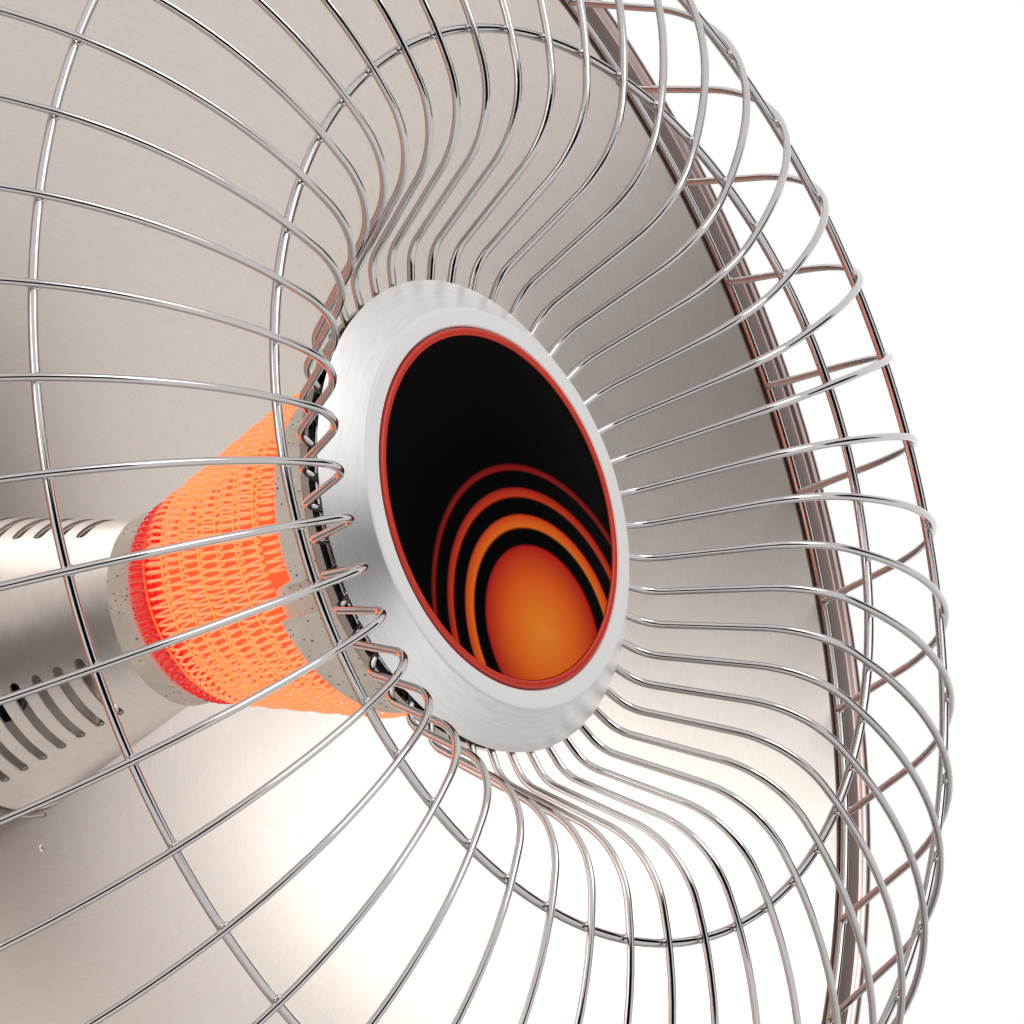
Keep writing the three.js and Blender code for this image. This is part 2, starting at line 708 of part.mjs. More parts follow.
function housingShell() {
  const inside = HOUSING_RADIUS - HOUSING_WALL;
  const drum = turned([
    [HOUSING_HOLE_RADIUS, HOUSING_FRONT], [HOUSING_RADIUS - HOUSING_EDGE, HOUSING_FRONT],
    [HOUSING_RADIUS, HOUSING_FRONT - HOUSING_EDGE], [HOUSING_RADIUS, HOUSING_BACK],
    [inside, HOUSING_BACK], [inside, HOUSING_FRONT - HOUSING_EDGE],
    [HOUSING_RADIUS - HOUSING_EDGE, HOUSING_FRONT - HOUSING_WALL],
    [HOUSING_HOLE_RADIUS, HOUSING_FRONT - HOUSING_WALL],
  ], HOUSING_SEGMENTS);
  const front = HOUSING_FRONT - HOUSING_WALL / 2;
  const screwBosses = screwPlaces().map(([x, y]) => (
    bar(COVER_BOSS_RADIUS, HOUSING_BACK, front, 6).translate(x, y, 0)
  ));
  const screwHoles = screwPlaces().map(([x, y]) => (
    bar(SCREW_RADIUS + GAP, HOUSING_BACK - 1, HOUSING_BACK + SCREW_LENGTH + 1, 6).translate(x, y, 0)
  ));
  const pivotBosses = [-1, 1].map((side) => (
    alongX(bar(BOSS_RADIUS, inside - BOLT_IN_BOSS, HOUSING_RADIUS + BOSS_LENGTH, 16), side)
      .translate(0, 0, -PIVOT_FROM_RIM)
  ));
  const pivotHoles = [-1, 1].map((side) => (
    alongX(bar(BOLT_RADIUS + GAP, inside - BOLT_IN_BOSS - 1, HOUSING_RADIUS + BOSS_LENGTH + 1, 10), side)
      .translate(0, 0, -PIVOT_FROM_RIM)
  ));
  return cut(join(drum, ...screwBosses, ...pivotBosses), ...screwHoles, ...pivotHoles);
}

function backCover() {
  const inside = HOUSING_RADIUS - HOUSING_WALL;
  const shell = turned([
    [0, coverBack], [HOUSING_RADIUS - 9, coverBack], [HOUSING_RADIUS - 2.5, coverBack + 1.8],
    [HOUSING_RADIUS, coverSeat], [inside, coverSeat], [inside - 2, coverInside], [0, coverInside],
  ], HOUSING_SEGMENTS);
  const middle = (coverBack + coverInside) / 2;
  const through = HOUSING_WALL + 4;
  const vents = Array.from({ length: COVER_VENTS }, (_, i) => {
    const height = VENT_FIRST_HEIGHT + i * VENT_PITCH;
    const length = VENT_LENGTH - i * 5;
    return block(length, VENT_WIDTH, through, 0, height, middle);
  });
  const hole = (radius, x, y) => bar(radius, middle - through, middle + through, 10).translate(x, y, 0);
  const switchHole = block(
    ROCKER_WIDTH + 1 + 2 * SWITCH_WALL + 2 * GAP, ROCKER_LENGTH + 2 + 2 * SWITCH_WALL + 2 * GAP,
    through, ROCKER_SIDE, ROCKER_HEIGHT, middle,
  );
  return cut(
    shell, ...vents, switchHole,
    hole(SHAFT_RADIUS + RUNNING_GAP, 0, KNOB_HEIGHT),
    hole(LENS_STALK_RADIUS + GAP, LENS_SIDE, ROCKER_HEIGHT),
    hole(INLET_BARREL_RADIUS + GAP, 0, INLET_HEIGHT),
    ...screwPlaces().map(([x, y]) => hole(SCREW_RADIUS + GAP, x, y)),
  );
}

function coverScrew(x, y) {
  const seat = coverBack - GAP;
  return turned([
    [0, seat - SCREW_HEAD_HEIGHT], [SCREW_HEAD_RADIUS * 0.75, seat - SCREW_HEAD_HEIGHT],
    [SCREW_HEAD_RADIUS, seat], [SCREW_RADIUS, seat], [SCREW_RADIUS, seat + SCREW_LENGTH], [0, seat + SCREW_LENGTH],
  ], 8).translate(x, y, 0);
}

function heatShield() {
  const plate = ring(HOUSING_HOLE_RADIUS, SHIELD_RADIUS, shieldFront - SHIELD_WALL, shieldFront, 22);
  const holes = standoffPlaces().map(({ x, y }) => (
    bar(STANDOFF_RADIUS + GAP, shieldFront - 4, shieldFront + 4, 10).translate(x, y, 0)
  ));
  return cut(plate, ...holes);
}

function standoffPlaces() {
  return Array.from({ length: STANDOFF_COUNT }, (_, i) => (
    clock(STANDOFF_SPREAD, Math.PI + (FULL_TURN * i) / STANDOFF_COUNT, 0)
  ));
}

/** Standoff between the housing and the dish, cut to the dish's back. */
function standoff({ x, y }) {
  const foot = HOUSING_FRONT + GAP;
  const shoulder = shieldFront - SHIELD_WALL - GAP;
  const top = dishFace(STANDOFF_SPREAD + STANDOFF_RADIUS);
  const post = turned([
    [0, foot], [STANDOFF_COLLAR_RADIUS, foot], [STANDOFF_COLLAR_RADIUS, shoulder], [STANDOFF_RADIUS, shoulder],
    [STANDOFF_RADIUS, top], [0, top],
  ], 12).translate(x, y, 0);
  const { face } = dishOutline(DISH_WALL + GAP, 0);
  const space = turned([[0, face[0][1]], ...face.slice(0, 5), [face[4][0], 0], [0, 0]], DISH_SEGMENTS);
  return cut(post, space);
}

function carryHandle() {
  const low = HOUSING_RADIUS * 0.7;
  const points = [new THREE.Vector3(-HANDLE_SPREAD, low, HANDLE_BACK)];
  const corners = [[-1, Math.PI, Math.PI / 2], [1, Math.PI / 2, 0]];
  corners.forEach(([side, from, to]) => {
    const centre = new THREE.Vector3(side * (HANDLE_SPREAD - HANDLE_BEND), HANDLE_RISE - HANDLE_BEND, HANDLE_BACK);
    for (let i = 0; i <= 4; i += 1) {
      const angle = THREE.MathUtils.lerp(from, to, i / 4);
      const reach = new THREE.Vector3(Math.cos(angle), Math.sin(angle), 0);
      points.push(centre.clone().addScaledVector(reach, HANDLE_BEND));
    }
  });
  points.push(new THREE.Vector3(HANDLE_SPREAD, low, HANDLE_BACK));
  const drum = bar(HOUSING_RADIUS + GAP, HOUSING_BACK - 5, HOUSING_FRONT, HOUSING_SEGMENTS);
  return cut(swept(points, HANDLE_TUBE_RADIUS, 8), drum);
}

// ---------------------------------------------------------------- controls
const knobFoot = coverBack - RUNNING_GAP;
const shaftEnd = knobFoot - SHAFT_IN_KNOB;
const thermostatBack = coverInside + GAP;

function thermostatKnob() {
  const top = knobFoot - KNOB_DEPTH + KNOB_GRIP_DEPTH;
  const skirt = turned([
    [0, top], [KNOB_RADIUS - 3, top], [KNOB_RADIUS - 1.5, top + 1.2], [KNOB_RADIUS, knobFoot], [0, knobFoot],
  ], 20);
  const grip = block(KNOB_GRIP_WIDTH, 2 * (KNOB_RADIUS - 4), KNOB_DEPTH, 0, 0, knobFoot - KNOB_DEPTH / 2);
  const bore = bar(SHAFT_RADIUS + 0.2, shaftEnd - GAP, knobFoot + 1);
  return cut(join(skirt, grip), bore).translate(0, KNOB_HEIGHT, 0);
}

function thermostatShaft() {
  return bar(SHAFT_RADIUS, shaftEnd, thermostatBack + SHAFT_IN_BODY).translate(0, KNOB_HEIGHT, 0);
}

function thermostatBody() {
  const { x, y, z } = THERMOSTAT_SIZE;
  const body = block(x, y, z, 0, KNOB_HEIGHT, thermostatBack + z / 2);
  const end = thermostatBack + SHAFT_IN_BODY + GAP;
  return cut(body, bar(SHAFT_RADIUS + RUNNING_GAP, thermostatBack - 1, end).translate(0, KNOB_HEIGHT, 0));
}

const rockerPivot = coverBack + 2.5;

function powerSwitchBody() {
  const [width, length] = [ROCKER_WIDTH + 1, ROCKER_LENGTH + 2];
  const bezelBack = coverBack - GAP - SWITCH_BEZEL_HEIGHT;
  const deep = coverBack + SWITCH_DEPTH;
  const body = block(
    width + 2 * SWITCH_WALL, length + 2 * SWITCH_WALL, deep - bezelBack, 0, 0, (deep + bezelBack) / 2,
  );
  const bezel = block(
    width + 2 * (SWITCH_WALL + SWITCH_BEZEL), length + 2 * (SWITCH_WALL + SWITCH_BEZEL),
    SWITCH_BEZEL_HEIGHT, 0, 0, bezelBack + SWITCH_BEZEL_HEIGHT / 2,
  );
  const floor = deep - 2 * SWITCH_WALL;
  const pocket = block(width, length, floor - bezelBack + 2, 0, 0, (floor + bezelBack) / 2 - 1);
  return cut(join(body, bezel), pocket).translate(ROCKER_SIDE, ROCKER_HEIGHT, 0);
}

function powerRocker() {
  const half = ROCKER_LENGTH / 2;
  const outline = [
    [-half, -1], [-half, ROCKER_PROUD], [0, ROCKER_PROUD - 1.5], [half, ROCKER_PROUD], [half, -1],
    [half * 0.5, -5], [-half * 0.5, -5],
  ].map(([x, y]) => new THREE.Vector2(x, y));
  const geometry = new THREE.ExtrudeGeometry(new THREE.Shape(outline), { depth: ROCKER_WIDTH, bevelEnabled: false });
  geometry.translate(0, 0, -ROCKER_WIDTH / 2).rotateY(Math.PI / 2).rotateX(-Math.PI / 2);
  geometry.rotateZ(Math.PI).rotateX(Math.PI).rotateX(-ROCKER_THROW);
  return geometry.translate(ROCKER_SIDE, ROCKER_HEIGHT, rockerPivot);
}

function indicatorLens() {
  const seat = coverBack - GAP;
  return turned([
    [0, seat - 3], [LENS_RADIUS * 0.6, seat - 2.5], [LENS_RADIUS, seat - 1], [LENS_RADIUS, seat],
    [LENS_STALK_RADIUS, seat], [LENS_STALK_RADIUS, seat + 10], [0, seat + 10],
  ], 14).translate(LENS_SIDE, ROCKER_HEIGHT, 0);
}

function inletBushing() {
  const seat = coverBack - GAP;
  return turned([
    [INLET_BORE_RADIUS, seat - 3], [INLET_FLANGE_RADIUS - 1, seat - 3], [INLET_FLANGE_RADIUS, seat - 2],
    [INLET_FLANGE_RADIUS, seat], [INLET_BARREL_RADIUS, seat], [INLET_BARREL_RADIUS, seat + 8],
    [INLET_BORE_RADIUS, seat + 8],
  ], 12).translate(0, INLET_HEIGHT, 0);
}

// ---------------------------------------------------------------- electrical pieces
const wallSeat = HOUSING_FRONT - HOUSING_WALL - GAP;

function onFrontWall(size, x, y) {
  return block(size.x, size.y, size.z, x, y, wallSeat - size.z / 2);
}

function elementLead(side) {
  const x = side * LEAD_SIDE;
  const bend = 9;
  const levelForward = wallSeat - TERMINAL_SIZE.z / 2;
  const start = coreBack - GAP;
  const points = [new THREE.Vector3(x, 0, start), new THREE.Vector3(x, 0, levelForward + bend)];
  for (let i = 1; i <= 3; i += 1) {
    const angle = (Math.PI / 2) * (i / 3);
    points.push(new THREE.Vector3(x, bend * (1 - Math.cos(angle)), levelForward + bend * (1 - Math.sin(angle))));
  }
  points.push(new THREE.Vector3(x, TERMINAL_HEIGHT - TERMINAL_SIZE.y / 2 - GAP, levelForward));
  return swept(points, LEAD_RADIUS, 8, new THREE.Vector3(1, 0, 0));
}

// ---------------------------------------------------------------- pivot and yoke
const bossEnd = HOUSING_RADIUS + BOSS_LENGTH;
const washerIn = bossEnd + GAP;
const armIn = washerIn + WASHER_THICKNESS + GAP;
const armOut = armIn + ARM_THICKNESS;
const boltSeat = armOut + GAP;

function frictionWasher(side) {
  return alongX(ring(BOLT_RADIUS + GAP, WASHER_RADIUS, washerIn, washerIn + WASHER_THICKNESS, 12), side);
}

function pivotBolt(side) {
  const tip = HOUSING_RADIUS - HOUSING_WALL - BOLT_IN_BOSS + 2;
  return alongX(turned([
    [0, tip], [BOLT_RADIUS, tip], [BOLT_RADIUS, boltSeat], [BOLT_HEAD_RADIUS, boltSeat],
    [BOLT_HEAD_RADIUS, boltSeat + BOLT_HEAD_HEIGHT], [0, boltSeat + BOLT_HEAD_HEIGHT],
  ], 12), side);
}

function pivotCap(side) {
  const [low, high] = [armOut + GAP, armOut + GAP + PIVOT_CAP_HEIGHT];
  const inner = PIVOT_CAP_RADIUS - PIVOT_CAP_WALL;
  return alongX(turned([
    [0, high], [PIVOT_CAP_RADIUS - 4, high], [PIVOT_CAP_RADIUS, high - 3], [PIVOT_CAP_RADIUS, low],
    [inner, low], [inner, high - PIVOT_CAP_WALL], [0, high - PIVOT_CAP_WALL],
  ], 14), side);
}

const yokeBarTop = PIVOT_HEIGHT - YOKE_DROP;
const yokeFoot = yokeBarTop - YOKE_BAR;

/** U-shaped bracket: two round-topped arms on a cross bar. */
function yoke() {
  const outline = new THREE.Shape();
  const half = ARM_DEPTH / 2;
  outline.moveTo(-half, yokeFoot);
  outline.lineTo(half, yokeFoot);
  outline.lineTo(half, PIVOT_HEIGHT);
  outline.absarc(0, PIVOT_HEIGHT, half, 0, Math.PI, false);
  const arms = [-1, 1].map((side) => {
    const arm = new THREE.ExtrudeGeometry(outline, { depth: ARM_THICKNESS, bevelEnabled: false, curveSegments: 8 });
    arm.rotateX(Math.PI / 2).rotateZ(Math.PI / 2);
    const middle = side * (armIn + ARM_THICKNESS / 2);
    return arm.translate(middle - ARM_THICKNESS / 2, PIVOT_BACK, 0);
  });
  const cross = lofted([
    roundedOutline(2 * armOut - 14, ARM_DEPTH, yokeFoot, PIVOT_BACK, 8),
    roundedOutline(2 * armOut, ARM_DEPTH, yokeFoot + 6, PIVOT_BACK, 8),
    roundedOutline(2 * armOut, ARM_DEPTH, yokeBarTop, PIVOT_BACK, 8),
  ]);
  const holes = alongX(bar(BOLT_RADIUS + RUNNING_GAP, -armOut - 5, armOut + 5, 12), 1);
  holes.translate(0, PIVOT_BACK, PIVOT_HEIGHT);
  return cut(join(cross, ...arms), holes);
}

// ---------------------------------------------------------------- column and base
const plateLow = FOOT_HEIGHT + GAP;
const plateTop = plateLow + PLATE_THICKNESS;
const tubeFoot = plateTop + GAP;
const tubeTop = yokeFoot - GAP;
const columnFoot = BASE_CROWN_HEIGHT + GAP;
const columnTop = yokeFoot - GAP;

function columnOutline(height, inset) {
  const along = (height - columnFoot) / (columnTop - columnFoot);
  const eased = 1 - (1 - along) ** 2;
  const width = THREE.MathUtils.lerp(COLUMN_FOOT_WIDTH, COLUMN_TOP_WIDTH, eased);
  const depth = THREE.MathUtils.lerp(COLUMN_FOOT_DEPTH, COLUMN_TOP_DEPTH, eased);
  return roundedOutline(width - 2 * inset, depth - 2 * inset, height, PIVOT_BACK, 2.6, 18);
}

/** Column shell, open below and above, halved down its sides: front (-1) or rear (+1). */
function columnHalf(side) {
  const heights = [0, 0.2, 0.5, 1].map((share) => THREE.MathUtils.lerp(columnFoot, columnTop, share));
  const outer = lofted(heights.map((height) => columnOutline(height, 0)));
  const inner = lofted([
    columnOutline(columnFoot, COLUMN_WALL).map((point) => point.clone().setZ(columnFoot - 1)),
    ...heights.map((height) => columnOutline(height, COLUMN_WALL)),
    columnOutline(columnTop, COLUMN_WALL).map((point) => point.clone().setZ(columnTop + 1)),
  ]);
  const length = 2 * (columnTop - columnFoot);
  const away = block(300, 100, 2 * length, 0, PIVOT_BACK - side * (50 - GAP / 2), columnFoot);
  return cut(outer, inner, away);
}

/** Steel tube that carries the yoke, with a plate at each end. */
function columnTube() {
  const shaft = bar(TUBE_RADIUS, tubeFoot, tubeTop, 16);
  const plate = (low) => block(TUBE_PLATE_WIDTH, TUBE_PLATE_DEPTH, TUBE_PLATE, 0, 0, low + TUBE_PLATE / 2);
  const bore = bar(TUBE_RADIUS - TUBE_WALL, tubeFoot - 1, tubeTop + 1, 16);
  return cut(join(shaft, plate(tubeFoot), plate(tubeTop - TUBE_PLATE)), bore).translate(0, PIVOT_BACK, 0);
}

function baseOutline(inset, height) {
  return roundedOutline(
    BASE_WIDTH - 2 * inset, BASE_DEPTH - 2 * inset, height, BASE_BACK, BASE_SQUARENESS, BASE_POINTS,
  );
}

function baseCover() {
  const outer = lofted([
    baseOutline(0, SKIRT_CLEARANCE), baseOutline(2, BASE_SIDE_HEIGHT),
    baseOutline(9, BASE_SHOULDER_HEIGHT - 4), baseOutline(22, BASE_SHOULDER_HEIGHT),
    baseOutline(118, BASE_CROWN_HEIGHT),
  ]);
  const inner = lofted([
    baseOutline(BASE_WALL, SKIRT_CLEARANCE - 1), baseOutline(2 + BASE_WALL, BASE_SIDE_HEIGHT - 1),
    baseOutline(22 + BASE_WALL, BASE_SHOULDER_HEIGHT - BASE_WALL),
    baseOutline(118, BASE_CROWN_HEIGHT - BASE_WALL),
  ]);
  const pad = lofted([
    columnOutline(columnFoot, 0).map((point) => point.clone().setZ(30)),
    columnOutline(columnFoot, 0).map((point) => point.clone().setZ(BASE_CROWN_HEIGHT)),
  ]);
  const well = lofted([
    columnOutline(columnFoot, COLUMN_WALL + 2).map((point) => point.clone().setZ(20)),
    columnOutline(columnFoot, COLUMN_WALL + 2).map((point) => point.clone().setZ(BASE_CROWN_HEIGHT + 1)),
  ]);
  return toGeometry(toSolid(outer).subtract(toSolid(inner)).add(toSolid(pad)).subtract(toSolid(well)));
}

function footPlaces() {
  return [[-1, -1], [1, -1], [1, 1], [-1, 1]].map(([x, y]) => [x * FOOT_SPREAD_X, BASE_BACK + y * FOOT_SPREAD_Y]);
}

function basePlate() {
  const plate = lofted([baseOutline(PLATE_INSET + 1, plateLow), baseOutline(PLATE_INSET + 1, plateTop)]);
  const holes = footPlaces().map(([x, y]) => bar(FOOT_PEG_RADIUS + GAP, plateLow - 1, plateTop + 1).translate(x, y, 0));
  return cut(plate, ...holes);
}

function rubberFoot(x, y) {
  return turned([
    [0, 0], [FOOT_RADIUS - 1, 0], [FOOT_RADIUS, 1], [FOOT_RADIUS, FOOT_HEIGHT], [FOOT_PEG_RADIUS, FOOT_HEIGHT],
    [FOOT_PEG_RADIUS, FOOT_HEIGHT + FOOT_PEG], [0, FOOT_HEIGHT + FOOT_PEG],
  ], 10).translate(x, y, 0);
}

function ballastWeight() {
  const { x, y, z } = BALLAST_SIZE;
  return block(x, y, z, 0, BALLAST_FORWARD, plateTop + GAP + z / 2);
}

// ---------------------------------------------------------------- assembly
const head = new THREE.Group();
const rimCentre = new THREE.Vector3(
  0, PIVOT_BACK - PIVOT_FROM_RIM * Math.cos(HEAD_TILT), PIVOT_HEIGHT + PIVOT_FROM_RIM * Math.sin(HEAD_TILT),
);
head.position.copy(rimCentre);
head.rotation.x = Math.PI / 2 - HEAD_TILT;

addPart(head, "reflector_dish", reflectorDish(), brushedAluminium);
addPart(head, "reflector_cone", reflectorCone(), brushedAluminium);
addPart(head, "wire_guard", wireGuard(), chromedWire);
for (let i = 0; i < CLIP_COUNT; i += 1) {
  addPart(head, `guard_clip_${i + 1}`, guardClip((FULL_TURN * (i + 0.5)) / CLIP_COUNT + Math.PI / WIRE_COUNT), zincPlate);
}
addPart(head, "hub_cap", hubCap(), spunSteel);
addPart(head, "hub_retainer", hubRetainer(), polishedSteel);
addPart(head, "medallion_plate", medallion(), blackEnamel);
addPart(head, "medallion_ring", medallionRing(), redEnamel);

addPart(head, "front_ceramic_collar", frontCollar(), steatite);
addPart(head, "element_core", elementCore(), steatite);
addPart(head, "heating_winding", heatingWinding(), glowingAlloy);
const rodBore = TIE_ROD_RADIUS + RUNNING_GAP;
const rearRing = cut(
  ring(rodBore, REAR_RING_RADIUS, rearRingBack, rearRingFront, 18),
  ...[-1, 1].map((side) => (
    bar(LEAD_RADIUS + RUNNING_GAP, rearRingBack - 1, rearRingFront + 1, 8).translate(side * LEAD_SIDE, 0, 0)
  )),
);
addPart(head, "rear_ceramic_ring", rearRing, steatite);
const frontNutSeat = wellFloor + GAP;
const rearNutSeat = CONE_FRONT - CONE_WALL - GAP - NUT_LENGTH;
addPart(head, "tie_rod", bar(TIE_ROD_RADIUS, rearNutSeat - 2, frontNutSeat + NUT_LENGTH - 0.4), zincPlate);
addPart(head, "tie_nut_front", boredNut(frontNutSeat - 0.3 + GAP), zincPlate);
addPart(head, "tie_nut_rear", boredNut(rearNutSeat), zincPlate);

addPart(head, "heat_shield", heatShield(), zincPlate);
standoffPlaces().forEach((place, i) => {
  addPart(head, `dish_standoff_${i + 1}`, standoff(place), zincPlate);
});
addPart(head, "rear_housing", housingShell(), darkPlastic);
addPart(head, "back_cover", backCover(), darkPlastic);
screwPlaces().forEach(([x, y], i) => {
  addPart(head, `cover_screw_${i + 1}`, coverScrew(x, y), zincPlate);
});
addPart(head, "carry_handle", carryHandle(), blackPlastic);

addPart(head, "thermostat_body", thermostatBody(), paleNylon);
addPart(head, "thermostat_shaft", thermostatShaft(), zincPlate);
addPart(head, "thermostat_knob", thermostatKnob(), blackPlastic);
addPart(head, "power_switch_body", powerSwitchBody(), blackPlastic);
addPart(head, "power_rocker", powerRocker(), blackPlastic);
addPart(head, "indicator_lens", indicatorLens(), amberLens);
addPart(head, "cord_inlet_bushing", inletBushing(), blackPlastic);

addPart(head, "terminal_block", onFrontWall(TERMINAL_SIZE, 0, TERMINAL_HEIGHT), paleNylon);
addPart(head, "thermal_cutout", bar(CUTOUT_RADIUS, wallSeat - CUTOUT_LENGTH, wallSeat).translate(CUTOUT_SIDE, 0, 0), blackPlastic);
addPart(head, "tip_over_switch", onFrontWall(TIP_SWITCH_SIZE, TIP_SWITCH_SIDE, 0), blackPlastic);
addPart(head, "alarm_buzzer", bar(BUZZER_RADIUS, wallSeat - BUZZER_LENGTH, wallSeat).translate(BUZZER_SIDE, BUZZER_HEIGHT, 0), blackPlastic);
addPart(head, "element_lead_left", elementLead(-1), leadSleeve);
addPart(head, "element_lead_right", elementLead(1), leadSleeve);

const pivots = new THREE.Group();
pivots.position.set(0, PIVOT_BACK, PIVOT_HEIGHT);
[[-1, "left"], [1, "right"]].forEach(([side, word]) => {
  addPart(pivots, `friction_washer_${word}`, frictionWasher(side), paleNylon);
  addPart(pivots, `pivot_bolt_${word}`, pivotBolt(side), zincPlate);
  addPart(pivots, `pivot_cap_${word}`, pivotCap(side), blackPlastic);
});

const stand = new THREE.Group();
addPart(stand, "yoke", yoke(), powderCoat);
addPart(stand, "column_tube", columnTube(), zincPlate);
addPart(stand, "column_front", columnHalf(-1), greyPlastic);
addPart(stand, "column_rear", columnHalf(1), greyPlastic);
addPart(stand, "base_cover", baseCover(), greyPlastic);
addPart(stand, "base_plate", basePlate(), zincPlate);
addPart(stand, "ballast_weight", ballastWeight(), castIron);
footPlaces().forEach(([x, y], i) => {
  addPart(stand, `rubber_foot_${i + 1}`, rubberFoot(x, y), footRubber);
});

const heater = new THREE.Group();
heater.add(stand, pivots, head);
export default heater;
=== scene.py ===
"""Parabolic heater with a wire guard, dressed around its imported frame.

Every piece is modelled in millimetres in the frame of its sub-assembly, and is then
placed in the shared frame, in metres. The head's own frame has its origin in the middle
of the dish's rim plane, X to the right, Y up and Z forwards along the head's axis.
"""

import json
import logging
import math
from collections.abc import Sequence
from dataclasses import dataclass, field
from enum import Enum

import bpy
from mathutils import Matrix, Vector


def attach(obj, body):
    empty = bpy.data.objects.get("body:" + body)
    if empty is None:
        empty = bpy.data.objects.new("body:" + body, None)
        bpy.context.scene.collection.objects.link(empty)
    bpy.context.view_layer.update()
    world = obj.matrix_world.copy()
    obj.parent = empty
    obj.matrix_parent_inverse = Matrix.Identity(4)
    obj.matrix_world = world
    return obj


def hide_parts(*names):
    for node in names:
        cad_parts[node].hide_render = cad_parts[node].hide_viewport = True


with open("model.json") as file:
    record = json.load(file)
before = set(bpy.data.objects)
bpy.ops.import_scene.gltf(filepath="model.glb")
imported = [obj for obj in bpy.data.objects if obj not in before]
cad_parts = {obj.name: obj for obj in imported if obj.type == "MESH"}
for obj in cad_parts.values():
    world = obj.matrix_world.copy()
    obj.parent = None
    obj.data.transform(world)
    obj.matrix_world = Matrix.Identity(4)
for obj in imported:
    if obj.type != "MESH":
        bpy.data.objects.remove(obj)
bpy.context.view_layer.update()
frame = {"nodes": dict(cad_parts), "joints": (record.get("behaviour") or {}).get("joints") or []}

logging.basicConfig(level=logging.INFO, format="%(message)s")
log = logging.getLogger("heater")

MM = 0.001                         # one millimetre in metres
TURN = 2.0 * math.pi
HEAD_TILT = math.radians(22.5)     # the head looks this far up at rest
PIVOT_FROM_RIM = 125.0             # from the rim plane back to the pivot
GAP = 0.3                          # clearance left between touching pieces
CAP_TIP = 0.02                     # a blunt wire's end is this share of its width
PIVOT = Vector(next(j["pos_m"] for j in frame["joints"] if j["name"] == "head_tilt")) / MM

Outline = Sequence[tuple[float, float]]
Line = list[tuple[float, float]]
Piece = bpy.types.Object


class Body(Enum):
    """The bodies that the joints move."""

    STAND = "base_stand"
    HEAD = "heater_head"
    KNOB = "thermostat_control"
    ROCKER = "power_switch"


def head_frame() -> Matrix:
    """The head's own frame at rest, in millimetres.

    Returns:
        The matrix from the head's frame to the shared frame.
    """
    ahead = Vector((0.0, -math.cos(HEAD_TILT), math.sin(HEAD_TILT)))
    turn = Matrix.Rotation(math.pi / 2 - HEAD_TILT, 4, "X")
    return Matrix.Translation(PIVOT + ahead * PIVOT_FROM_RIM) @ turn


HEAD = head_frame()
SHARED = Matrix.Identity(4)
PIVOTS = Matrix.Translation(PIVOT)


# ------------------------------------------------------------------------ modelling
def clear_selection() -> None:
    """Leaves edit mode and selects nothing."""
    if bpy.context.object and bpy.context.object.mode != "OBJECT":
        bpy.ops.object.mode_set(mode="OBJECT")
    bpy.ops.object.select_all(action="DESELECT")


def take(piece: Piece) -> Piece:
    """Selects one object alone and makes it the active one.

    Args:
        piece: the object.

    Returns:
        The same object.
    """
    clear_selection()
    piece.select_set(True)
    bpy.context.view_layer.objects.active = piece
    return piece


def lone_vertex(name: str, at: Vector) -> Piece:
    """Starts a piece as one vertex and stays in edit mode.

    Args:
        name: the piece's name.
        at: the vertex's place.

    Returns:
        The new object.
    """
    clear_selection()
    bpy.ops.mesh.primitive_plane_add(size=1.0)
    piece = bpy.context.object
    piece.name = name
    piece.data.name = name
    bpy.ops.object.mode_set(mode="EDIT")
    bpy.ops.mesh.select_mode(type="VERT")
    bpy.ops.mesh.select_all(action="SELECT")
    bpy.ops.mesh.merge(type="CENTER")
    bpy.ops.transform.translate(value=at)
    return piece


def draw_line(points: Sequence[Vector], closed: bool) -> None:
    """Extrudes the selected vertex along a line, in edit mode.

    Args:
        points: every point of the line, the first one being the vertex itself.
        closed: whether the last point is joined to the first.
    """
    for before, after in zip(points, points[1:]):
        bpy.ops.mesh.extrude_vertices_move(TRANSFORM_OT_translate={"value": after - before})
    bpy.ops.mesh.select_all(action="SELECT")
    if closed:
        piece = bpy.context.edit_object
        bpy.ops.mesh.select_all(action="DESELECT")
        bpy.ops.object.mode_set(mode="OBJECT")
        piece.data.vertices[0].select = True
        piece.data.vertices[-1].select = True
        bpy.ops.object.mode_set(mode="EDIT")
        bpy.ops.mesh.edge_face_add()
        bpy.ops.mesh.select_all(action="SELECT")


def spun(name: str, outline: Outline, steps: int = 96, smooth: float = 35.0) -> Piece:
    """Turns a closed outline round the Z axis.

    Args:
        name: the piece's name.
        outline: points of radius and height.
        steps: facets round the axis.
        smooth: edges flatter than this many degrees are shaded smooth.

    Returns:
        The turned piece.
    """
    points = [Vector((radius, 0.0, height)) for radius, height in outline]
    piece = lone_vertex(name, points[0])
    draw_line(points, closed=True)
    bpy.ops.mesh.spin(steps=steps, angle=TURN, center=(0, 0, 0), axis=(0, 0, 1))
    bpy.ops.mesh.select_all(action="SELECT")
    bpy.ops.mesh.remove_doubles(threshold=0.002)
    bpy.ops.mesh.normals_make_consistent(inside=False)
    bpy.ops.object.mode_set(mode="OBJECT")
    return shade(piece, smooth)


def rod(name: str, radius: float, low: float, high: float, steps: int = 32) -> Piece:
    """Turns a plain round rod along Z, to cut or trim with.

    Args:
        name: the piece's name.
        radius: its radius.
        low: height of its foot.
        high: height of its top.
        steps: facets round the axis.

    Returns:
        The rod.
    """
    return spun(name, [(0, low), (radius, low), (radius, high), (0, high)], steps)


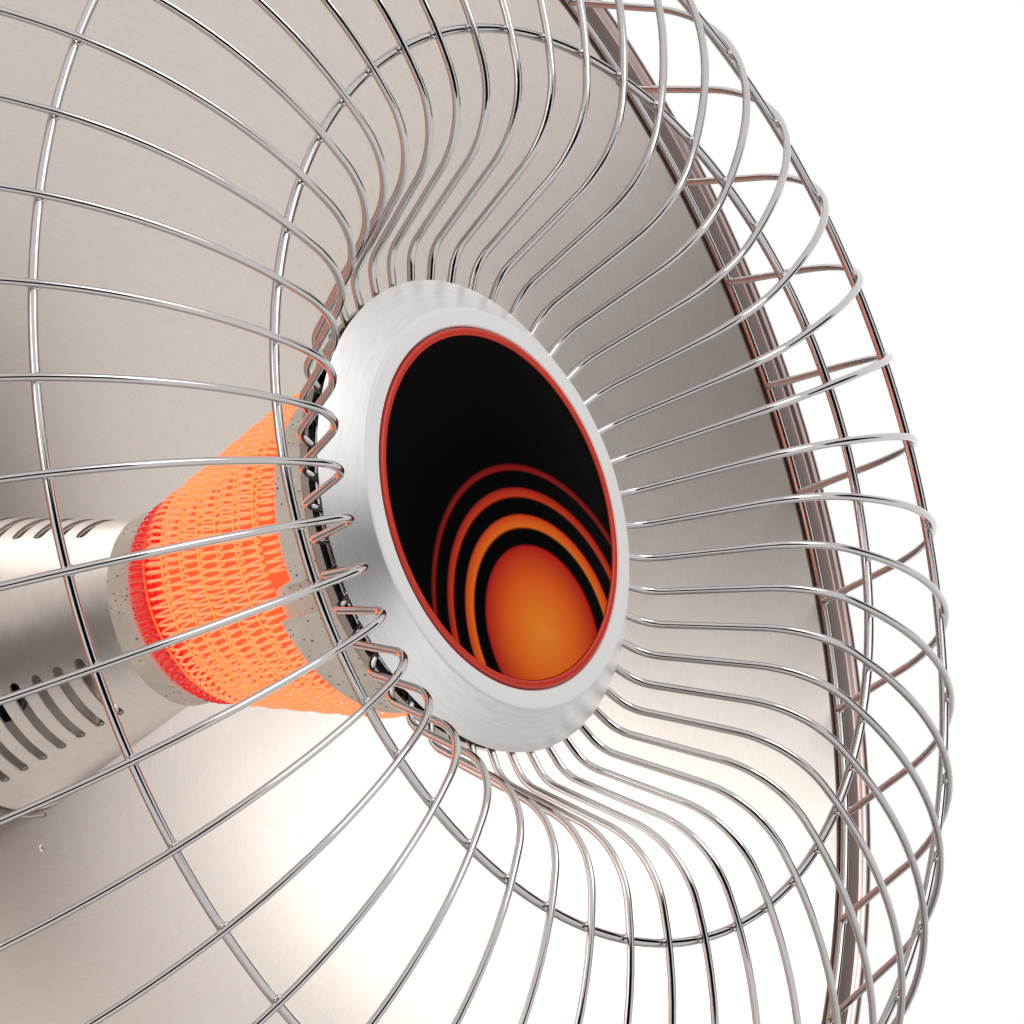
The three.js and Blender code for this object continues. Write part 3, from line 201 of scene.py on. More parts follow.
def slab(name: str, outline: Outline, low: float, high: float) -> Piece:
    """Raises a flat outline into a slab.

    Args:
        name: the piece's name.
        outline: points of X and Y.
        low: height of the slab's foot.
        high: height of its top.

    Returns:
        The slab.
    """
    points = [Vector((x, y, low)) for x, y in outline]
    piece = lone_vertex(name, points[0])
    draw_line(points, closed=True)
    bpy.ops.mesh.edge_face_add()
    bpy.ops.mesh.extrude_region_move(TRANSFORM_OT_translate={"value": (0, 0, high - low)})
    bpy.ops.mesh.select_all(action="SELECT")
    bpy.ops.mesh.normals_make_consistent(inside=False)
    bpy.ops.object.mode_set(mode="OBJECT")
    return piece


@dataclass(frozen=True)
class Section:
    """One level of a raised form: its width, depth and height."""

    width: float
    depth: float
    height: float


def raised(name: str, sections: Sequence[Section], squareness: float, centre: float, points: int) -> Piece:
    """Raises a rounded form through levels of different size, from one face.

    Args:
        name: the piece's name.
        sections: the levels, in the order in which they are extruded.
        squareness: 2 gives ellipses, more gives squarer outlines.
        centre: the form's middle along Y.
        points: points round each level.

    Returns:
        The closed form.
    """
    clear_selection()
    bpy.ops.mesh.primitive_circle_add(vertices=points, radius=1.0, fill_type="NGON")
    piece = bpy.context.object
    piece.name = name
    piece.data.name = name
    first = sections[0]
    for vertex in piece.data.vertices:
        across, along = vertex.co.x, vertex.co.y
        vertex.co.x = math.copysign(abs(across) ** (2 / squareness), across) * first.width / 2
        vertex.co.y = math.copysign(abs(along) ** (2 / squareness), along) * first.depth / 2 + centre
        vertex.co.z = first.height
    bpy.ops.object.mode_set(mode="EDIT")
    bpy.ops.mesh.select_mode(type="FACE")
    bpy.ops.mesh.select_all(action="SELECT")
    for below, above in zip(sections, sections[1:]):
        bpy.ops.mesh.extrude_region_move(
            TRANSFORM_OT_translate={"value": (0, 0, above.height - below.height)}
        )
        bpy.ops.transform.resize(
            value=(above.width / below.width, above.depth / below.depth, 1.0),
            center_override=(0.0, centre, above.height),
        )
    bpy.ops.mesh.select_all(action="SELECT")
    bpy.ops.mesh.normals_make_consistent(inside=False)
    bpy.ops.object.mode_set(mode="OBJECT")
    return piece


def box(name: str, size: Sequence[float], middle: Sequence[float]) -> Piece:
    """Makes a rectangular blank that is then softened or cut with.

    Args:
        name: the piece's name.
        size: its three sides.
        middle: its middle.

    Returns:
        The blank.
    """
    clear_selection()
    bpy.ops.mesh.primitive_cube_add(size=1.0, location=middle, scale=size)
    piece = bpy.context.object
    piece.name = name
    piece.data.name = name
    bpy.ops.object.transform_apply(location=True, rotation=True, scale=True)
    return piece


def wire(
    name: str, points: Sequence[Vector], radius: float, rounding: int = 1, closed: bool = False,
    blunt: bool = False,
) -> Piece:
    """Draws a round wire along a line and makes it a mesh.

    Args:
        name: the piece's name.
        points: the points of its centre line.
        radius: the wire's radius.
        rounding: 0 gives four sides, and each step more adds two.
        closed: whether the wire is a ring.
        blunt: whether its ends are rounded off.

    Returns:
        The wire.
    """
    line_points = [(place, 1.0) for place in points]
    if blunt:
        first, last = (points[0] - points[1]).normalized(), (points[-1] - points[-2]).normalized()
        angles = (math.pi / 8, math.pi / 4, math.pi * 3 / 8, math.pi / 2)
        caps = [(math.sin(a), max(math.cos(a), CAP_TIP)) for a in angles]
        line_points = [
            *((points[0] + first * radius * out, thin) for out, thin in reversed(caps)), *line_points,
            *((points[-1] + last * radius * out, thin) for out, thin in caps),
        ]
    clear_selection()
    bpy.ops.curve.primitive_nurbs_path_add()
    piece = bpy.context.object
    piece.name = name
    curve = piece.data
    curve.splines.clear()
    line = curve.splines.new("POLY")
    line.points.add(len(line_points) - 1)
    for point, (place, thin) in zip(line.points, line_points):
        point.co = (*place, 1.0)
        point.radius = thin
    line.use_cyclic_u = closed
    line.use_smooth = True
    curve.dimensions = "3D"
    curve.bevel_depth = radius
    curve.bevel_resolution = rounding
    curve.use_fill_caps = not closed
    bpy.ops.object.convert(target="MESH")
    piece = bpy.context.object
    piece.data.name = name
    return shade(piece, 60.0)


def apply_modifier(piece: Piece, kind: str, **settings: object) -> Piece:
    """Adds a modifier, sets it and applies it.

    Args:
        piece: the piece to finish.
        kind: the modifier's type.
        **settings: its settings by name.

    Returns:
        The same piece.
    """
    take(piece)
    bpy.ops.object.modifier_add(type=kind)
    modifier = piece.modifiers[-1]
    for key, value in settings.items():
        setattr(modifier, key, value)
    bpy.ops.object.modifier_apply(modifier=modifier.name)
    return piece


def soften(piece: Piece, width: float, segments: int = 3, angle: float = 40.0) -> Piece:
    """Rounds a piece's edges.

    Args:
        piece: the piece.
        width: the rounding's width.
        segments: facets across it.
        angle: only edges sharper than this many degrees are rounded.

    Returns:
        The same piece.
    """
    apply_modifier(
        piece, "BEVEL", width=width, segments=segments, limit_method="ANGLE",
        angle_limit=math.radians(angle), use_clamp_overlap=True,
    )
    return shade(piece, 35.0)


def carve(piece: Piece, *tools: Piece, mode: str = "DIFFERENCE") -> Piece:
    """Cuts, joins or trims a piece with others, which are used up.

    Args:
        piece: the piece.
        *tools: the cutting pieces.
        mode: DIFFERENCE, UNION or INTERSECT.

    Returns:
        The same piece.
    """
    for tool in tools:
        apply_modifier(piece, "BOOLEAN", operation=mode, object=tool, solver="EXACT", use_self=True)
        bpy.data.objects.remove(tool)
    return shade(piece, 35.0)


def gathered(name: str, pieces: Sequence[Piece]) -> Piece:
    """Joins pieces into one object.

    Args:
        name: the joined piece's name.
        pieces: the pieces, of which the first one stays.

    Returns:
        The joined piece.
    """
    clear_selection()
    for piece in pieces:
        piece.select_set(True)
    bpy.context.view_layer.objects.active = pieces[0]
    if len(pieces) > 1:
        bpy.ops.object.join()
    joined = bpy.context.object
    joined.name = name
    joined.data.name = name
    return joined


def moved(piece: Piece, matrix: Matrix) -> Piece:
    """Moves a piece and puts its place into its mesh.

    Args:
        piece: the piece.
        matrix: the move.

    Returns:
        The same piece.
    """
    take(piece)
    piece.matrix_world = matrix @ piece.matrix_world
    bpy.ops.object.transform_apply(location=True, rotation=True, scale=True)
    return piece


def shifted(piece: Piece, x: float, y: float, z: float) -> Piece:
    """Moves a piece along the three axes, its place going into its mesh."""
    return moved(piece, Matrix.Translation((x, y, z)))


def copies(piece: Piece, moves: Sequence[Matrix]) -> list[Piece]:
    """Copies a piece to several places, each copy with its own mesh, and uses it up.

    Args:
        piece: the pattern piece.
        moves: one move for each copy.

    Returns:
        The copies in order.
    """
    made = []
    for move in moves:
        take(piece)
        bpy.ops.object.duplicate(linked=False)
        made.append(moved(bpy.context.object, move))
    bpy.data.objects.remove(piece)
    return made


def shade(piece: Piece, angle: float) -> Piece:
    """Shades a piece smooth, except over its sharp edges.

    Args:
        piece: the piece.
        angle: edges sharper than this many degrees stay sharp.

    Returns:
        The same piece.
    """
    take(piece)
    bpy.ops.object.shade_smooth_by_angle(angle=math.radians(angle))
    return piece


def round_z(share: float) -> Matrix:
    """A turn round the Z axis, clockwise as seen from the front, as a share of a full turn."""
    return Matrix.Rotation(-TURN * share, 4, "Z")


def clock(radius: float, angle: float, forward: float) -> Vector:
    """A point by its radius and clock angle: 0 is up and a positive angle goes to the right."""
    return Vector((radius * math.sin(angle), radius * math.cos(angle), forward))


def along_x(side: int) -> Matrix:
    """The turn that lays a piece made along Z to the left (-1) or to the right (1)."""
    return Matrix.Rotation(side * math.pi / 2, 4, "Y")


def arc(centre: tuple[float, float], radius: float, start: float, end: float, steps: int) -> Line:
    """Points along an arc of an outline.

    Args:
        centre: the arc's centre.
        radius: its radius.
        start: the angle of its first point, in degrees.
        end: the angle of its last point, in degrees.
        steps: steps between them.

    Returns:
        The points.
    """
    angles = [math.radians(start + (end - start) * i / steps) for i in range(steps + 1)]
    return [(centre[0] + radius * math.cos(a), centre[1] + radius * math.sin(a)) for a in angles]


# ------------------------------------------------------------------------- finishes
def linear(code: str) -> tuple[float, float, float, float]:
    """Turns an sRGB hex colour into the linear values that Blender mixes.

    Args:
        code: six hex digits.

    Returns:
        Linear red, green and blue, and full opacity.
    """
    shares = [int(code[i:i + 2], 16) / 255 for i in (0, 2, 4)]
    red, green, blue = (s / 12.92 if s <= 0.04045 else ((s + 0.055) / 1.055) ** 2.4 for s in shares)
    return red, green, blue, 1.0


def add_node(
    tree: bpy.types.NodeTree,
    kind: str,
    inputs: dict[str | int, object] | None = None,
    stops: Sequence[tuple[float, str]] = (),
    **settings: object,
) -> bpy.types.Node:
    """Adds a node with its settings and links.

    Args:
        tree: the node tree.
        kind: the node's type.
        inputs: a value or another node's socket for each named input.
        stops: places and hex colours, for a node with a colour ramp.
        **settings: the node's own properties.

    Returns:
        The node.
    """
    node = tree.nodes.new(kind)
    for key, value in settings.items():
        setattr(node, key, value)
    for key, value in (inputs or {}).items():
        if isinstance(value, bpy.types.NodeSocket):
            tree.links.new(value, node.inputs[key])
        else:
            node.inputs[key].default_value = value
    for i, (place, code) in enumerate(stops):
        elements = node.color_ramp.elements
        element = elements[i] if i < 2 else elements.new(place)
        element.position = place
        element.color = linear(code)
    return node


FLAT = (1, 1, 0)                   # keeps a place's X and Y and drops its height


@dataclass(frozen=True)
class Finish:
    """A plain surface with a fine grain: moulded, plated, cast or woven."""

    name: str
    slot: str
    colour: str
    tint: str
    roughness: float
    metallic: float = 0.0
    grain: float = 1.2          # size of the grain, mm, as coarse as it needs to show
    relief: float = 0.02        # height of the grain, mm
    coat: float = 0.0
    place: Matrix = field(default_factory=lambda: SHARED)

    def material(self) -> bpy.types.Material:
        """Finds the finish's material, or makes it the first time.

        Returns:
            The material.
        """
        known = bpy.data.materials.get(self.name)
        if known:
            return known
        made = bpy.data.materials.new(self.name)
        made.use_nodes = True
        tree = made.node_tree
        tree.nodes.clear()
        shader = self.shader(tree)
        add_node(tree, "ShaderNodeOutputMaterial", {"Surface": shader.outputs[0]})
        return made

    def space(self, tree: bpy.types.NodeTree) -> bpy.types.NodeSocket:
        """Gives the piece's coordinates in millimetres in its own frame.

        Args:
            tree: the material's nodes.

        Returns:
            The socket that carries them.
        """
        back = self.place.inverted()
        where = add_node(tree, "ShaderNodeTexCoord")
        mapping = add_node(tree, "ShaderNodeMapping", {
            "Vector": where.outputs["Object"],
            "Location": back.to_translation(),
            "Rotation": back.to_euler(),
            "Scale": (1 / MM, 1 / MM, 1 / MM),
        })
        return mapping.outputs[0]

    def shader(self, tree: bpy.types.NodeTree) -> bpy.types.Node:
        """Builds the surface from its grain.

        Args:
            tree: the material's nodes.

        Returns:
            The shader node.
        """
        space = self.space(tree)
        grain = add_node(tree, "ShaderNodeTexNoise", {
            "Vector": space, "Scale": 1 / self.grain, "Detail": 3.0, "Roughness": 0.6,
        })
        wear = add_node(tree, "ShaderNodeTexNoise", {"Vector": space, "Scale": 0.04, "Detail": 4.0})
        tone = add_node(tree, "ShaderNodeValToRGB", {"Fac": wear.outputs["Fac"]},
                        stops=[(0.3, self.colour), (0.75, self.tint)])
        rough = add_node(tree, "ShaderNodeMapRange", {
            "Value": grain.outputs["Fac"], "From Min": 0.3, "From Max": 0.7,
            "To Min": self.roughness * 0.88, "To Max": min(1.0, self.roughness * 1.12),
        })
        bump = add_node(tree, "ShaderNodeBump", {
            "Height": grain.outputs["Fac"], "Strength": 0.6, "Distance": self.relief * MM,
        })
        return add_node(tree, "ShaderNodeBsdfPrincipled", {
            "Base Color": tone.outputs["Color"], "Roughness": rough.outputs["Result"],
            "Metallic": self.metallic, "Coat Weight": self.coat, "Normal": bump.outputs["Normal"],
        })


@dataclass(frozen=True)
class SpunMetal(Finish):
    """Sheet metal brushed while it turned, so its fine scratches run in circles."""

    metallic: float = 1.0
    scratch: float = 0.35       # spacing of the scratches, mm, as coarse as it needs to show
    stretch: float = 26.0       # how much longer than wide a scratch is
    face_radius: float = 0.0    # inside this radius the surface is lacquered and duller
    face_roughness: float = 0.0
    face_colour: str = "FFFFFF"

    def shader(self, tree: bpy.types.NodeTree) -> bpy.types.Node:
        """Builds the metal from scratches that depend on the radius.

        Args:
            tree: the material's nodes.

        Returns:
            The shader node.
        """
        space = self.space(tree)
        flat = add_node(tree, "ShaderNodeVectorMath", {0: space, 1: FLAT}, operation="MULTIPLY")
        radius = add_node(tree, "ShaderNodeVectorMath", {0: flat.outputs[0]}, operation="LENGTH")
        parts = add_node(tree, "ShaderNodeSeparateXYZ", {0: flat.outputs[0]})
        spread = 1 / self.stretch
        across = add_node(tree, "ShaderNodeMath", {0: parts.outputs["X"], 1: spread}, operation="MULTIPLY")
        along = add_node(tree, "ShaderNodeMath", {0: parts.outputs["Y"], 1: spread}, operation="MULTIPLY")
        rings = add_node(tree, "ShaderNodeCombineXYZ", {
            "X": radius.outputs["Value"], "Y": across.outputs[0], "Z": along.outputs[0],
        })
        scratches = add_node(tree, "ShaderNodeTexNoise", {
            "Vector": rings.outputs[0], "Scale": 1 / self.scratch, "Detail": 2.0, "Roughness": 0.7,
        })
        fine = add_node(tree, "ShaderNodeTexNoise", {
            "Vector": space, "Scale": 1 / self.grain, "Detail": 2.0, "Roughness": 0.7,
        })
        both = add_node(tree, "ShaderNodeMath", {
            0: scratches.outputs["Fac"], 1: fine.outputs["Fac"],
        }, operation="ADD")
        tone = add_node(tree, "ShaderNodeValToRGB", {"Fac": scratches.outputs["Fac"]},
                        stops=[(0.3, self.tint), (0.7, self.colour)])
        bump = add_node(tree, "ShaderNodeBump", {
            "Height": both.outputs[0], "Strength": 0.5, "Distance": self.relief * MM,
        })
        metal = {
            "Base Color": tone.outputs["Color"], "Metallic": self.metallic,
            "Roughness": self.roughness, "Normal": bump.outputs["Normal"],
        }
        if self.face_radius:
            duller = add_node(tree, "ShaderNodeMapRange", {
                "Value": radius.outputs["Value"], "From Min": self.face_radius - 0.2,
                "From Max": self.face_radius + 0.2, "To Min": self.face_roughness,
                "To Max": self.roughness,
            })
            bare = add_node(tree, "ShaderNodeMath", {
                0: radius.outputs["Value"], 1: self.face_radius,
            }, operation="GREATER_THAN")
            lacquer = add_node(tree, "ShaderNodeMix", {
                "Factor": bare.outputs[0], 6: linear(self.face_colour), 7: tone.outputs["Color"],
            }, data_type="RGBA")
            metal |= {
                "Base Color": lacquer.outputs[2], "Metallic": bare.outputs[0],
                "Roughness": duller.outputs["Result"],
            }
        return add_node(tree, "ShaderNodeBsdfPrincipled", metal)


@dataclass(frozen=True)
class Ceramic(Finish):
    """Unglazed electrical ceramic with dark specks and small pores."""

    speck: float = 1.7          # spacing of the specks, mm
    pore_colour: str = "6B5F52"

    def shader(self, tree: bpy.types.NodeTree) -> bpy.types.Node:
        """Builds the ceramic from clouds, specks and pores.

        Args:
            tree: the material's nodes.

        Returns:
            The shader node.
        """
        space = self.space(tree)
        clouds = add_node(tree, "ShaderNodeTexNoise", {
            "Vector": space, "Scale": 0.18, "Detail": 6.0, "Roughness": 0.65,
        })
        body = add_node(tree, "ShaderNodeValToRGB", {"Fac": clouds.outputs["Fac"]},
                        stops=[(0.3, self.tint), (0.68, self.colour)])
        cells = add_node(tree, "ShaderNodeTexVoronoi", {"Vector": space, "Scale": 1 / self.speck})
        sizes = add_node(tree, "ShaderNodeTexNoise", {"Vector": space, "Scale": 0.5, "Detail": 2.0})
        reach = add_node(tree, "ShaderNodeMath", {
            0: sizes.outputs["Fac"], 1: 0.3,
        }, operation="MULTIPLY")
        pores = add_node(tree, "ShaderNodeMath", {
            0: cells.outputs["Distance"], 1: reach.outputs[0],
        }, operation="LESS_THAN")
        tone = add_node(tree, "ShaderNodeMix", {
            "Factor": pores.outputs[0], 6: body.outputs["Color"], 7: linear(self.pore_colour),
        }, data_type="RGBA")
        grit = add_node(tree, "ShaderNodeTexNoise", {"Vector": space, "Scale": 1 / self.grain, "Detail": 4.0})
        height = add_node(tree, "ShaderNodeMath", {
            0: grit.outputs["Fac"], 1: pores.outputs[0],
        }, operation="SUBTRACT")
        bump = add_node(tree, "ShaderNodeBump", {
            "Height": height.outputs[0], "Strength": 0.7, "Distance": self.relief * MM,
        })
        return add_node(tree, "ShaderNodeBsdfPrincipled", {
            "Base Color": tone.outputs[2], "Roughness": self.roughness, "Normal": bump.outputs["Normal"],
        })


@dataclass(frozen=True)
class Glow(Finish):
    """Red-hot alloy, or the ceramic behind it given a painted glow for the coil's light (the core partly its
    own heat too): brightest in the middle, dull red at both cool ends.
    """

    strength: float = 1.0
    cool_low: float = -16.5     # the cool end at the back, mm along the head's axis
    cool_high: float = 38.0
    fade: float = 4.0           # how far the heat takes to come up
    dull: str = "BE1B1A"

    def shader(self, tree: bpy.types.NodeTree) -> bpy.types.Node:
        """Builds the glow from the place along the axis and a slow flicker in the heat.

        Args:
            tree: the material's nodes.

        Returns:
            The shader node.
        """
        space = self.space(tree)
        parts = add_node(tree, "ShaderNodeSeparateXYZ", {0: space})
        span = self.cool_high - self.cool_low
        along = add_node(tree, "ShaderNodeMapRange", {
            "Value": parts.outputs["Z"], "From Min": self.cool_low, "From Max": self.cool_high,
        })
        heat = add_node(tree, "ShaderNodeValToRGB", {"Fac": along.outputs["Result"]}, stops=[
            (0.0, self.dull), (1.0, self.dull), (self.fade / span, self.colour),
            (1 - self.fade / span, self.colour),
        ])
        patches = add_node(tree, "ShaderNodeTexNoise", {
            "Vector": space, "Scale": 1 / self.grain, "Detail": 2.0,
        })
        tone = add_node(tree, "ShaderNodeMix", {
            "Factor": patches.outputs["Fac"], 6: heat.outputs["Color"], 7: linear(self.tint),
        }, data_type="RGBA", blend_type="MULTIPLY")
        return add_node(tree, "ShaderNodeBsdfPrincipled", {
            "Base Color": tone.outputs[2], "Roughness": self.roughness,
            "Emission Color": tone.outputs[2], "Emission Strength": self.strength,
            "Coat Weight": self.coat, "Coat Roughness": 0.2,
        })


@dataclass(frozen=True)
class Enamel(Finish):
    """Glossy enamel with a plain sunrise of orange rings over the lower edge."""

    sun_drop: float = 30.0      # the rings' centre below the middle, mm
    reach: float = 60.0         # radius at which the design ends, mm
    gloss: float = 0.02
    edge: float = 0.01          # how far a ring's colour takes to fade, as a share of the reach
    rings: tuple[tuple[float, float, str, str], ...] = (
        (0.415, 0.455, "E8701F", "D2451C"), (0.535, 0.56, "C63E1C", "A8261B"),
        (0.64, 0.652, "8E1D18", "7A1815"),
    )

    def shader(self, tree: bpy.types.NodeTree) -> bpy.types.Node:
        """Builds the enamel from rings of colour round a point low on the disc.

        Args:
            tree: the material's nodes.

        Returns:
            The shader node.
        """
        space = self.space(tree)
        lowered = add_node(tree, "ShaderNodeVectorMath", {
            0: space, 1: (0, self.sun_drop, 0),
        }, operation="ADD")
        flat = add_node(tree, "ShaderNodeVectorMath", {
            0: lowered.outputs[0], 1: FLAT,
        }, operation="MULTIPLY")
        distance = add_node(tree, "ShaderNodeVectorMath", {0: flat.outputs[0]}, operation="LENGTH")
        share = add_node(tree, "ShaderNodeMath", {
            0: distance.outputs["Value"], 1: self.reach,
        }, operation="DIVIDE")
        stops = [
            (0.0, "F08A2A"), (1.0, self.colour), (0.20, "E4611F"), (0.335, "B3201C"), (0.345, self.colour),
        ]
        for first, last, inner, outer in self.rings:
            stops += [
                (first - self.edge, self.colour), (first, inner),
                (last, outer), (last + self.edge, self.colour),
            ]
        rings = add_node(tree, "ShaderNodeValToRGB", {"Fac": share.outputs[0]}, stops=stops)
        return add_node(tree, "ShaderNodeBsdfPrincipled", {
            "Base Color": rings.outputs["Color"], "Roughness": self.roughness,
            "Specular IOR Level": self.gloss,
        })


# Spun aluminium sheet, brushed in circles and lacquered: soft, warm grey, with a faint grain.
DISH_ALUMINIUM = SpunMetal(
    "spun aluminium, circular brushed", "dish_aluminium", "E0D7CF", "D8CFC7", 0.34,
    grain=0.45, relief=0.006, scratch=0.4, stretch=9.0, place=HEAD,
)
# The same sheet rolled over at the rim and polished by the roller, so it mirrors the dark studio. Its colour
# is a darker, pinker copy of the dish's: a painted reflection of the dark studio and the red-hot element.
ROLLED_RIM_PAINTED_REFLECTION = SpunMetal(
    "rolled aluminium, polished, painted reflection", "dish_aluminium", "BFA9A4", "B29C97", 0.28, grain=0.6, relief=0.003,
    scratch=0.5, stretch=12.0, place=HEAD,
)
# Aluminium drawn to a cone and brushed: paler than the dish, with a tight bright line along it.
CONE_ALUMINIUM = SpunMetal(
    "drawn aluminium, brushed", "cone_aluminium", "F2EFEC", "E8E4E1", 0.24, metallic=0.85,
    grain=0.5, relief=0.005, scratch=0.4, stretch=9.0, place=HEAD,
)
# Steel wire under bright chromium: sharp white and black reflections.
CHROMED_WIRE = Finish(
    "chromed steel wire", "chromed_wire", "C4C0BF", "B9B5B4", 0.08, metallic=1.0, grain=2.0, relief=0.0,
)
# Spun steel cap: a streaky bright skirt round a lacquered satin face.
SPUN_STEEL = SpunMetal(
    "spun steel, satin face", "spun_steel", "F2F0EE", "E6E3E1", 0.4, grain=0.6, relief=0.008,
    scratch=0.5, stretch=18.0, face_radius=47.3, face_roughness=0.5, face_colour="F2F0EE", place=HEAD,
)
# Pressed and polished steel: dark mirror lines in the shade behind the cap.
POLISHED_STEEL = Finish(
    "polished steel", "polished_steel", "A9A4A1", "8B8683", 0.14, metallic=1.0, grain=3.0, relief=0.002,
)
# Enamel fired on steel: an even deep black, with sharp rings of orange and red in a plain design.
BLACK_ENAMEL = Enamel(
    "gloss enamel on steel", "black_enamel", "050404", "050404", 0.32, place=HEAD,
)
# The same enamel in red on the thin ring: one flat line of colour with a soft gloss.
RED_ENAMEL = Finish("red enamel", "red_enamel", "D8361C", "C62C18", 0.35, grain=3.0, relief=0.004)
# Steatite pressed and fired without a glaze: matt off-white, clouded, with dark pores.
STEATITE = Ceramic(
    "unglazed steatite", "steatite", "F6EEE2", "E2D8CA", 0.85, grain=0.7, relief=0.09, place=HEAD,
)
# Drawn resistance wire at red heat: pale orange curls with a small hard gloss.
HOT_ALLOY = Glow(
    "red-hot resistance alloy", "glowing_alloy", "FF9C6B", "FFE2D0", 0.25, grain=5.0, strength=0.86,
    coat=0.8, place=HEAD,
)
# The core's moulded ridge between the loops, given a painted glow: a fine yellower line that stands for the
# coil's light and highlight on the ceramic.
RIDGE_PAINTED_GLOW = Glow(
    "steatite ridge, painted glow", "glowing_alloy", "FF9A52", "FFE0C8", 0.6, grain=5.0, strength=0.9, place=HEAD,
)
# The core itself behind the coil: deeper and redder than the wire, with no gloss. Its glow is partly the
# ceramic's own heat and partly painted light from the coil, filling the gaps between the curls.
CORE_HEAT_AND_PAINTED_GLOW = Glow(
    "steatite core, heat and painted glow", "steatite", "FA5F38", "FFD6C0", 0.8, grain=5.0, strength=0.9, place=HEAD,
)
# Steel plated with zinc and passivated: cool grey in soft clouds, with a broad highlight.
ZINC = Finish(
    "zinc-plated steel", "zinc_plate", "B4B6B8", "9A9DA0", 0.38, metallic=1.0, grain=2.5, relief=0.006,
)
# ABS from a spark-eroded mould: an even, fine, dull texture, and no highlight with an edge.
DARK_ABS = Finish("ABS, dark, textured", "dark_plastic", "3C3E42", "34363A", 0.55, grain=0.7, relief=0.05)
GREY_ABS = Finish("ABS, grey, textured", "grey_plastic", "8A8C90", "808286", 0.52, grain=0.7, relief=0.05)
# ABS from a finer mould: darker and smoother, with a satin line along its edges.
BLACK_ABS = Finish("ABS, black, satin", "black_plastic", "1A1A1C", "151517", 0.42, grain=0.8, relief=0.03)
# Nylon moulded without colour: a warm ivory with a waxy look.
NYLON = Finish("nylon, natural", "pale_nylon", "D8D2C2", "CBC4B2", 0.5, grain=1.2, relief=0.02)
# Polycarbonate from a polished mould: a glassy drop of orange with one hard highlight.
LENS = Finish(
    "polycarbonate, amber", "amber_lens", "D9541C", "C8471A", 0.12, grain=4.0, relief=0.003, coat=0.6,
)
# Powder baked on steel: black with a fine peel that breaks the highlight up.
POWDER = Finish("powder coat, black", "powder_coat", "2B2D30", "242629", 0.6, grain=0.9, relief=0.06)
# Iron as it leaves the sand: dark, coarse and dull.
IRON = Finish("cast iron, bare", "cast_iron", "5A5A5D", "47474A", 0.8, metallic=0.6, grain=1.5, relief=0.12)
# Moulded rubber: nearly black and quite matt.
RUBBER = Finish("rubber, moulded", "foot_rubber", "1C1C1D", "161617", 0.85, grain=0.8, relief=0.04)
# Glass yarn woven to a sleeve: ivory, matt and rough.
SLEEVE = Finish("woven glass sleeve", "lead_sleeve", "D2CBBB", "BDB6A6", 0.9, grain=0.6, relief=0.12)
# Ink put on by a pad: flat white.
PRINT = Finish("printed dial white", "black_plastic", "E8E8E6", "DDDDDA", 0.5, grain=2.0, relief=0.003)


def place_piece(piece: Piece, place: Matrix, body: Body, finish: Finish, *stands_for: str) -> Piece:
    """Puts a finished piece where it belongs, in metres, and makes it ride there.

    Args:
        piece: the piece, in millimetres in its own frame.
        place: its frame in the shared frame.
        body: the body it moves with.
        finish: its surface.
        *stands_for: the solids that it replaces.

    Returns:
        The same piece.
    """
    moved(piece, Matrix.Scale(MM, 4) @ place)
    piece.data.materials.clear()
    piece.data.materials.append(finish.material())
    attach(piece, body.value)
    if stands_for:
        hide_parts(*stands_for)
    faces = len(piece.data.polygons)
    log.info("%s: %d faces, for %s", piece.name, faces, ", ".join(stands_for) or "itself")
    return piece


def dress_solid(finish: Finish, *nodes: str) -> None:
    """Gives solids of the frame their finish.

    Args:
        finish: the surface.
        *nodes: the solids' names.
    """
    for node in nodes:
        slots = frame["nodes"][node].data.materials
        slots.clear()
        slots.append(finish.material())
        log.info("%s: kept, in %s", node, finish.name)


